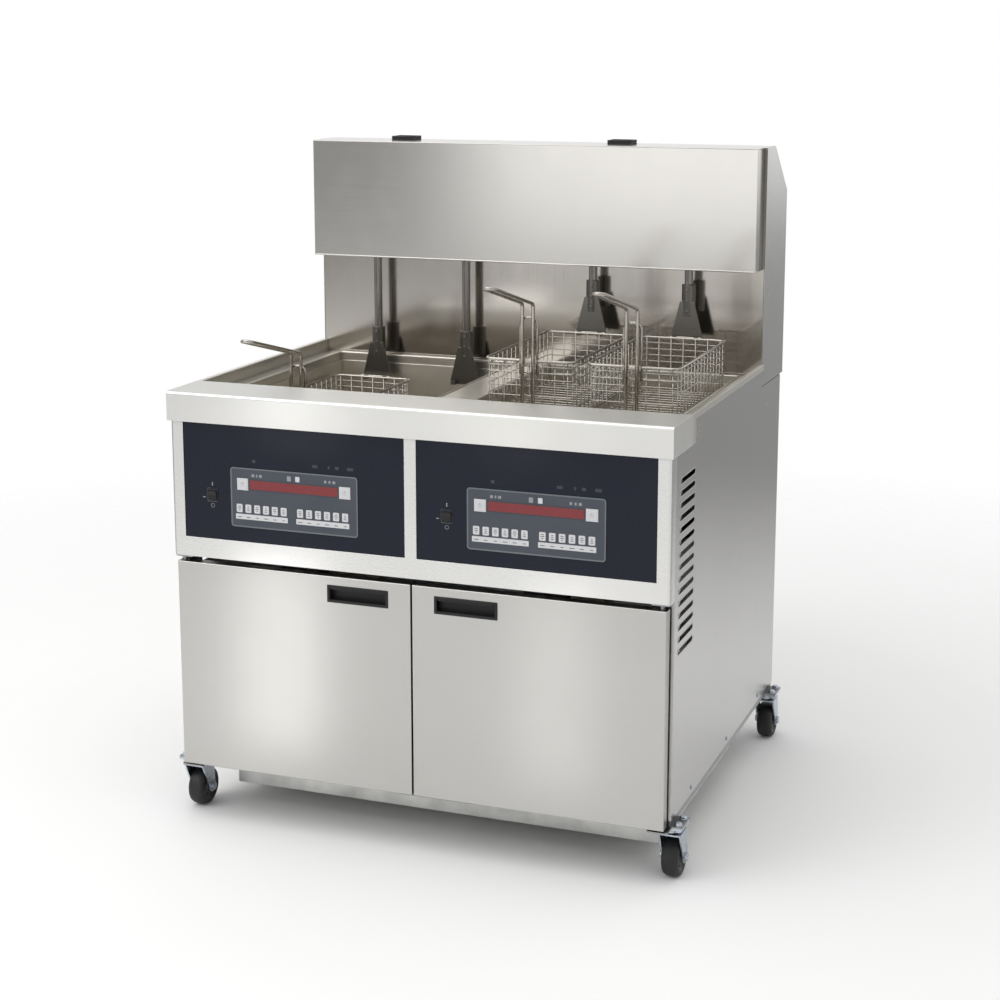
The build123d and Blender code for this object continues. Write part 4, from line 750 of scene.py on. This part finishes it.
louvreLook = dict(
    length=0.104, height=0.011, pitch=0.023, count=15, midY=0.106, midZ=0.604, wire=0.0007, endRound=0.48,
)
for label, side in (("left", -1), ("right", 1)):
    look = louvreLook
    bm = bmesh.new()
    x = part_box(f"{label}_side_panel")[1 if side > 0 else 0].x
    y0 = doorFace + look["midY"] - look["length"] / 2
    y1 = y0 + look["length"]
    for k in range(look["count"]):
        z0 = look["midZ"] + (k - (look["count"] - 1) / 2) * look["pitch"] - look["height"] / 2
        z1 = z0 + look["height"]
        corners = [(x, y0, z0), (x, y1, z0), (x, y1, z1), (x, y0, z1)]
        runWire(bm, corners, look["wire"], look["height"] * look["endRound"], 6, True, 6)
    addPiece(f"{label}_louvre_rims", bm, "sideSheet", "cabinet", True)

hemLook = dict(
    lowRise=0.0012, lowWire=0.0017, topDrop=0.0008, topWire=0.0011, inset=0.0006, back=0.002, bend=0.0025,
)
look = hemLook
low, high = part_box("lift_hood")
x0, x1 = low.x + look["inset"], high.x - look["inset"]
y0, y1 = low.y + look["inset"], high.y - look["back"]
bm = bmesh.new()
for z, wire in ((low.z + look["lowRise"], look["lowWire"]), (high.z - look["topDrop"], look["topWire"])):
    runWire(bm, [(x0, y1, z), (x0, y0, z), (x1, y0, z), (x1, y1, z)], wire, look["bend"], 8, False, 3)
addPiece("hood_hems", bm, "hoodSheet", "cabinet", True)


def bead(bm, midX, z, half, front, back, wire, corner, steps):
    # Closed wire that lies level round an opening
    x0, x1 = midX - half, midX + half
    corners = [(x0, front, z), (x1, front, z), (x1, back, z), (x0, back, z)]
    runWire(bm, corners, wire, corner, 8, True, steps)


wellLook = dict(centers=(-0.250, 0.250), recess=0.026, rise=0.0002)
wellBead = dict(
    half=0.2105, front=doorFace + 0.1895, back=doorFace + 0.6855, wire=0.0022, corner=0.006, steps=4,
)
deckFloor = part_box("top_deck")[1].z - wellLook["recess"]
bm = bmesh.new()
for midX in wellLook["centers"]:
    bead(bm, midX, deckFloor + wellLook["rise"], **wellBead)
addPiece("well_beads", bm, "deckSheet", "cabinet", True)

panLook = dict(rise=0.0004)
panBead = dict(
    half=0.4642, front=doorFace + 0.1348, back=doorFace + 0.6992, wire=0.0013, corner=0.0132, steps=6,
)
bm = bmesh.new()
bead(bm, 0.0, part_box("filter_pan")[1].z + panLook["rise"], **panBead)
addPiece("pan_bead", bm, "panGrey", "filter_pan", True)

flueLook = dict(centers=(-0.320, 0.180))
flueBead = dict(
    half=0.026, front=doorFace + 0.7235, back=doorFace + 0.7675, wire=0.0018, corner=0.004, steps=3,
)
bm = bmesh.new()
for midX in flueLook["centers"]:
    bead(bm, midX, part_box("flues")[1].z - flueBead["wire"], **flueBead)
addPiece("flue_rims", bm, "flueBlack", "cabinet", True)
print("sheet trim done")


casterNames = ("front_left", "front_right", "rear_left", "rear_right")
wheelLook = dict(
    tyre=(
        (0.0262, 0.0158), (0.0290, 0.0168), (0.0328, 0.0166), (0.0360, 0.0148), (0.0380, 0.0112),
        (0.0388, 0.0060), (0.0390, 0.0),
    ),
    hub=(
        (0.0052, 0.0179), (0.0105, 0.0179), (0.0125, 0.0170), (0.0132, 0.0140), (0.0205, 0.0120),
        (0.0245, 0.0130), (0.0262, 0.0158),
    ),
    stud=((0.0, 0.0016), (0.0020, 0.0012), (0.0026, 0.0), (0.0026, -0.002)), studs=6,
    studReach=(0.0128, 0.0185),
    axleNut=((0.0, 0.0042), (0.0070, 0.0042), (0.0086, 0.0030), (0.0088, 0.0), (0.0086, -0.0002)),
    nutInset=0.0044,
)
for corner in casterNames:
    look = wheelLook
    low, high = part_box(f"{corner}_caster_wheel")
    middle = (low + high) / 2
    half = look["tyre"]
    bm = bmesh.new()
    outline = [(r, -h) for r, h in half] + [(r, h) for r, h in reversed(half[:-1])]
    turned(bm, outline, middle, (1, 0, 0), 48)
    tyre = addPiece(f"{corner}_tyre", bm, "tyreRubber", f"{corner}_caster_wheel", True)
    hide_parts(f"{corner}_caster_wheel")
    bm = bmesh.new()
    out, reach = look["studReach"]
    for way in (-1, 1):
        turned(bm, look["hub"], middle, (way, 0, 0), 40)
        for k in range(look["studs"]):
            angle = k * math.tau / look["studs"]
            place = middle + Vector((way * out, math.cos(angle) * reach, math.sin(angle) * reach))
            turned(bm, look["stud"], place, (way, 0, 0), 8)
    addPiece(f"{corner}_hub", bm, "hubPlastic", f"{corner}_caster_wheel", True)
    low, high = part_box(f"{corner}_caster_fork")
    bm = bmesh.new()
    for way, endX in ((-1, low.x), (1, high.x)):
        place = Vector((endX - way * look["nutInset"], middle.y, middle.z))
        turned(bm, look["axleNut"], place, (way, 0, 0), 6)
    addPiece(f"{corner}_axle_nuts", bm, "zincPlate", f"{corner}_caster_fork")

kingLook = dict(
    x=0.501, y=(doorFace + 0.057, doorFace + 0.846), boltReach=0.0175, tabTop=0.115, raceGap=0.0001,
    nutRise=0.0008,
    race=(
        (0.0162, 0.0), (0.0172, 0.0012), (0.0177, 0.0045), (0.0168, 0.0062), (0.0176, 0.0082),
        (0.0170, 0.0116), (0.0160, 0.0123),
    ),
    nut=((0.0, 0.0052), (0.0048, 0.0052), (0.0066, 0.0042), (0.0068, 0.0010), (0.0068, -0.0002)),
    washer=((0.0040, 0.0012), (0.0078, 0.0012), (0.0082, 0.0008), (0.0082, -0.0002)),
)
races, nuts = bmesh.new(), bmesh.new()
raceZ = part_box("caster_plates")[0].z + kingLook["raceGap"]
for side in (-1, 1):
    x = side * kingLook["x"]
    for y in kingLook["y"]:
        turned(races, kingLook["race"], (x, y, raceZ), (0, 0, 1), 32)
        reach = kingLook["boltReach"]
        for k in (-1, 1):
            place = Vector((x + side * reach, y + k * reach, kingLook["tabTop"]))
            turned(nuts, kingLook["washer"], place, (0, 0, 1), 20)
            turned(nuts, kingLook["nut"], place + Vector((0, 0, kingLook["nutRise"])), (0, 0, 1), 6)
addPiece("swivel_races", races, "zincPlate", "cabinet", True)
addPiece("caster_nuts", nuts, "zincPlate", "cabinet")

pedalLook = dict(ribs=4, step=0.006, inset=0.003, drop=0.0078, wire=0.0009)
for corner in ("front_left", "front_right"):
    look = pedalLook
    low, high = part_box(f"{corner}_brake_pedal")
    bm = bmesh.new()
    z = high.z - look["drop"]
    for k in range(look["ribs"]):
        y = high.y - (k + 1) * look["step"]
        ends = [(low.x + look["inset"], y, z), (high.x - look["inset"], y, z)]
        runWire(bm, ends, look["wire"], 0.0, 6)
    addPiece(f"{corner}_pedal_ribs", bm, "zincPlate", f"{corner}_brake_pedal", True)
print("casters dressed")


gasLook = dict(
    valveX=0.250, valveY=doorFace + 0.040, unionY=doorFace + 0.062, z=0.545, unionReach=0.040,
    knob=(
        (0.0, 0.0098), (0.0105, 0.0098), (0.0128, 0.0088), (0.0140, 0.0040), (0.0150, 0.0),
        (0.0150, -0.001),
    ),
    union=((0.0108, 0.016), (0.0135, 0.0155), (0.0145, 0.0130), (0.0145, 0.0), (0.0110, -0.001)),
    capScrew=((0.0, 0.004), (0.0045, 0.004), (0.0055, 0.003), (0.0055, -0.001)), capReach=(0.026, 0.020),
    thread=((0.0130, -0.0013), (0.0136, 0.0), (0.0130, 0.0013)), threadY=doorFace + 0.8885,
    threadPitch=0.0028, turns=9, pointer=(0.0022, 0.011), pointerDepth=(0.0108, 0.009), pointerEdge=0.0006,
)
knobs, unions, thread = (bmesh.new() for _ in range(3))
for side in (-1, 1):
    look = gasLook
    x, y, z = side * look["valveX"], look["valveY"], look["z"]
    turned(knobs, look["knob"], (x, y, z), (0, -1, 0), 10)
    wide, tall = look["pointer"]
    front, back = (y - sink for sink in look["pointerDepth"])
    softBlock(knobs, (x - wide, front, z - tall), (x + wide, back, z + tall), look["pointerEdge"])
    turned(unions, look["union"], (x - side * look["unionReach"], look["unionY"], z), (-side, 0, 0), 6)
    for k in (-1, 1):
        place = (x + k * look["capReach"][0], y, z + look["capReach"][1])
        turned(unions, look["capScrew"], place, (0, -1, 0), 6)
for k in range(gasLook["turns"]):
    y = gasLook["threadY"] + k * gasLook["threadPitch"]
    turned(thread, gasLook["thread"], (0, y, gasLook["z"]), (0, 1, 0), 32)
addPiece("gas_knobs", knobs, "motorBlack", "cabinet")
addPiece("gas_unions", unions, "valveBrass", "cabinet")
addPiece("inlet_thread", thread, "threadSteel", "cabinet", True)

burnerLook = dict(
    x=(-0.380, -0.120, 0.120, 0.380), y=doorFace + 0.130, step=0.060, count=9, z=gasLook["z"],
    rib=((0.0188, -0.004), (0.0202, -0.0035), (0.0206, 0.0), (0.0202, 0.0035), (0.0188, 0.004)),
    port=((0.0, 0.0014), (0.0016, 0.0014), (0.0030, 0.0), (0.0030, -0.001)), portStep=0.007,
    portRise=0.0186, portFall=0.0013,
)
bm = bmesh.new()
for x in burnerLook["x"]:
    look = burnerLook
    for k in range(look["count"]):
        y = look["y"] + k * look["step"]
        turned(bm, look["rib"], (x, y, look["z"]), (0, 1, 0), 24)
        for j in (-1, 0, 1):
            portZ = look["z"] + look["portRise"] - abs(j) * look["portFall"]
            place = (x + j * look["portStep"], y + look["step"] / 2, portZ)
            turned(bm, look["port"], place, (0, 0, 1), 8)
addPiece("burner_ports", bm, "burnerCast", "cabinet", True)

pumpLook = dict(
    y=doorFace + 0.839, z=0.165, finX=-0.056, finStep=-0.012, fins=10, capX=-0.220,
    fin=((0.0268, -0.0022), (0.0292, -0.0014), (0.0292, 0.0014), (0.0268, 0.0022)),
    cap=((0.0, 0.010), (0.010, 0.0095), (0.020, 0.0065), (0.0262, 0.0), (0.0262, -0.002)),
    box=((-0.150, -0.018, 0.024), (-0.090, 0.018, 0.046)), boxEdge=0.003,
    bolt=((0.0, 0.004), (0.004, 0.004), (0.005, 0.003), (0.005, -0.001)), boltReach=(0.028, -0.029, 0.040),
)
look = pumpLook
bm = bmesh.new()
for k in range(look["fins"]):
    turned(bm, look["fin"], (look["finX"] + k * look["finStep"], look["y"], look["z"]), (1, 0, 0), 32)
turned(bm, look["cap"], (look["capX"], look["y"], look["z"]), (-1, 0, 0), 32)
center = Vector((0, look["y"], look["z"]))
boxLow, boxHigh = (center + Vector(corner) for corner in look["box"])
softBlock(bm, boxLow, boxHigh, look["boxEdge"])
reachX, reachY, reachZ = look["boltReach"]
for x in (-reachX, reachX):
    for z in (-reachZ, reachZ):
        turned(bm, look["bolt"], center + Vector((x, reachY, z)), (0, -1, 0), 6)
addPiece("pump_details", bm, "motorBlack", "cabinet")

leverLook = dict(
    length=0.0785, half=0.0092, over=0.0005, behind=0.0003, proud=0.0012, edge=0.003, stemX=0.250,
    nutProud=0.0006,
    nut=((0.0, 0.0052), (0.0065, 0.0052), (0.0082, 0.0040), (0.0082, 0.0), (0.0, -0.0002)),
)
for label, side in (("left", -1), ("right", 1)):
    look = leverLook
    low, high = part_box(f"{label}_drain_handle")
    midZ = (low.z + high.z) / 2
    tip = low.x - look["over"] if side > 0 else high.x + look["over"] - look["length"]
    bm = bmesh.new()
    corner = (tip + look["length"], high.y + look["behind"], midZ + look["half"])
    softBlock(bm, (tip, low.y - look["proud"], midZ - look["half"]), corner, look["edge"], 3)
    addPiece(f"{label}_lever_grip", bm, "redLever", f"{label}_drain_handle")
    bm = bmesh.new()
    place = (side * look["stemX"], low.y - look["nutProud"], midZ)
    turned(bm, look["nut"], place, (0, -1, 0), 6)
    addPiece(f"{label}_stem_nut", bm, "valveBrass", "cabinet")

screwLook = dict(
    head=((0.0, 0.0026), (0.0022, 0.0025), (0.0038, 0.0018), (0.0047, 0.0004), (0.0047, -0.0002)), z=0.139,
    sideX=0.507, sideY=doorFace + 0.4525, sideStep=0.280, rearY=doorFace + 0.875, rearStep=0.200,
    rearCount=4,
)
look = screwLook
bm = bmesh.new()
for side in (-1, 1):
    for k in (-1, 0, 1):
        place = (side * look["sideX"], look["sideY"] + k * look["sideStep"], look["z"])
        turned(bm, look["head"], place, (side, 0, 0), 16)
for k in range(look["rearCount"]):
    x = (k - (look["rearCount"] - 1) / 2) * look["rearStep"]
    turned(bm, look["head"], (x, look["rearY"], look["z"]), (0, 1, 0), 16)
addPiece("screw_heads", bm, "zincPlate", "cabinet", True)
print("service parts dressed")


stageLook = dict(
    radius=4.0, color=(0.90, 0.90, 0.895), darker=0.985, clouds=0.8, gloss=0.15, rough=0.75,
    fade=(1.2, 3.2),  # distances between which the floor melts into the backdrop
)
look = stageLook
floorMaterial, floorTree, floorShader = startMaterial("paleFloor", gloss=look["gloss"])
floorShader.inputs["Roughness"].default_value = look["rough"]
clouds = grain(floorTree, [look["clouds"]] * 3, 3.0)
dark = shade(look["color"], look["darker"])
floorTone = tone(floorTree, clouds, [(0.3, dark), (0.7, look["color"])])
floorTree.links.new(floorTone, floorShader.inputs["Base Color"])
coord = floorTree.nodes.new("ShaderNodeTexCoord")
reach = floorTree.nodes.new("ShaderNodeVectorMath")
reach.operation = "LENGTH"
floorTree.links.new(coord.outputs["Object"], reach.inputs[0])
fade = spread(floorTree, reach.outputs["Value"], 1.0, 0.0, *look["fade"])
floorTree.links.new(fade, floorShader.inputs["Alpha"])
bm = bmesh.new()
bmesh.ops.create_circle(bm, cap_ends=True, segments=64, radius=look["radius"])
floorMesh = bpy.data.meshes.new("studio_floor")
bm.to_mesh(floorMesh)
bm.free()
floorMesh.materials.append(floorMaterial)
studioFloor = putInScene("studio_floor", floorMesh)

# bright parts of the room: the way to them, cosines and heights over which they fade in
worldLook = dict(dim=0.31, lobes=(
    dict(way=(0.0, 0.0, 1.0), turn=(0.20, 0.75), rise=(-3.0, -2.0), bright=1.0),
    dict(way=(-0.35, 0.937, 0.0), turn=(0.80, 0.97), rise=(-3.0, -2.0), bright=1.0),
    dict(way=(0.42, 0.907, 0.0), turn=(0.80, 0.94), rise=(-0.12, -0.06), bright=1.05),
    dict(way=(1.0, 0.0, 0.0), turn=(0.45, 0.80), rise=(-0.13, -0.05), bright=0.80),
    dict(way=(-0.96, 0.29, 0.0), turn=(0.55, 0.90), rise=(-0.13, -0.05), bright=0.80),
    dict(way=(0.0, -1.0, 0.0), turn=(0.10, 0.50), rise=(-0.09, -0.17), bright=1.02),
))
world = bpy.data.worlds.new("studio")
bpy.context.scene.world = world
world.use_nodes = True
worldTree = world.node_tree
background = worldTree.nodes["Background"]
background.inputs["Color"].default_value = (1.0, 1.0, 1.0, 1.0)
coord = worldTree.nodes.new("ShaderNodeTexCoord")
height = worldTree.nodes.new("ShaderNodeSeparateXYZ")
worldTree.links.new(coord.outputs["Generated"], height.inputs["Vector"])
ray = worldTree.nodes.new("ShaderNodeLightPath")
sky = calculate(worldTree, "MAXIMUM", ray.outputs["Is Camera Ray"], worldLook["dim"])
for lobe in worldLook["lobes"]:
    facing = worldTree.nodes.new("ShaderNodeVectorMath")
    facing.operation = "DOT_PRODUCT"
    facing.inputs[1].default_value = lobe["way"]
    worldTree.links.new(coord.outputs["Generated"], facing.inputs[0])
    wide = spread(worldTree, facing.outputs["Value"], 0.0, lobe["bright"], *lobe["turn"])
    high = spread(worldTree, height.outputs["Z"], 0.0, 1.0, *lobe["rise"])
    sky = calculate(worldTree, "MAXIMUM", sky, calculate(worldTree, "MULTIPLY", wide, high))
worldTree.links.new(sky, background.inputs["Strength"])

lampLook = {
    "keyBox": dict(place=(-3.0, -3.6, 3.6), aim=(-0.2, -0.6, 0.3), size=(3.0, 2.4), power=60),
    "frontBox": dict(place=(-1.25, -6.4, 1.7), aim=(0.1, 0, 1.1), size=(2.8, 2.6), power=28),
    "topBox": dict(place=(-0.8, -1.4, 4.4), aim=(-0.6, -1.0, 0.0), size=(4.0, 3.2), power=48),
}
# strips that only the sheen of doors and apron picks up: x, z, width, height, power
stripLook = dict(y=-0.85, strips=(
    (-0.482, 0.225, 0.20, 0.45, 0.22), (0.153, 0.225, 0.16, 0.45, 0.08),
    (-0.429, 0.770, 0.16, 0.16, 0.09), (0.065, 0.770, 0.16, 0.16, 0.045),
))
for number, (x, z, wide, tall, power) in enumerate(stripLook["strips"], 1):
    place = (x, stripLook["y"], z)
    look = dict(place=place, aim=(x, 0, z), size=(wide, tall), power=power, sheenOnly=True)
    lampLook[f"sheenStrip{number}"] = look
for name, look in lampLook.items():
    light = bpy.data.lights.new(name, "AREA")
    light.energy = look["power"]
    light.shape = "RECTANGLE"
    light.size, light.size_y = look["size"]
    lamp = putInScene(name, light)
    lamp.location = look["place"]
    lamp.rotation_euler = (Vector(look["aim"]) - Vector(look["place"])).to_track_quat("-Z", "Y").to_euler()
    lamp.visible_camera = False
    lamp.visible_diffuse = "sheenOnly" not in look

cameraLook = dict(
    place=(1.3847, -3.6832, 1.5522), yaw=0.3571, pitch=0.1861, shift=-0.1, focal=1926.7,  # focal in pixels
    picture=1000, sensor=36.0,
)
camera = bpy.data.cameras.new("studio_camera")
camera.sensor_width = cameraLook["sensor"]
camera.lens = cameraLook["focal"] / cameraLook["picture"] * cameraLook["sensor"]
camera.shift_y = cameraLook["shift"]
cameraObject = putInScene("studio_camera", camera)
cameraObject.location = cameraLook["place"]
cameraObject.rotation_euler = (math.pi / 2 - cameraLook["pitch"], 0, cameraLook["yaw"])
bpy.context.scene.camera = cameraObject
bpy.context.scene.view_settings.view_transform = "Standard"
print("stage and camera set")
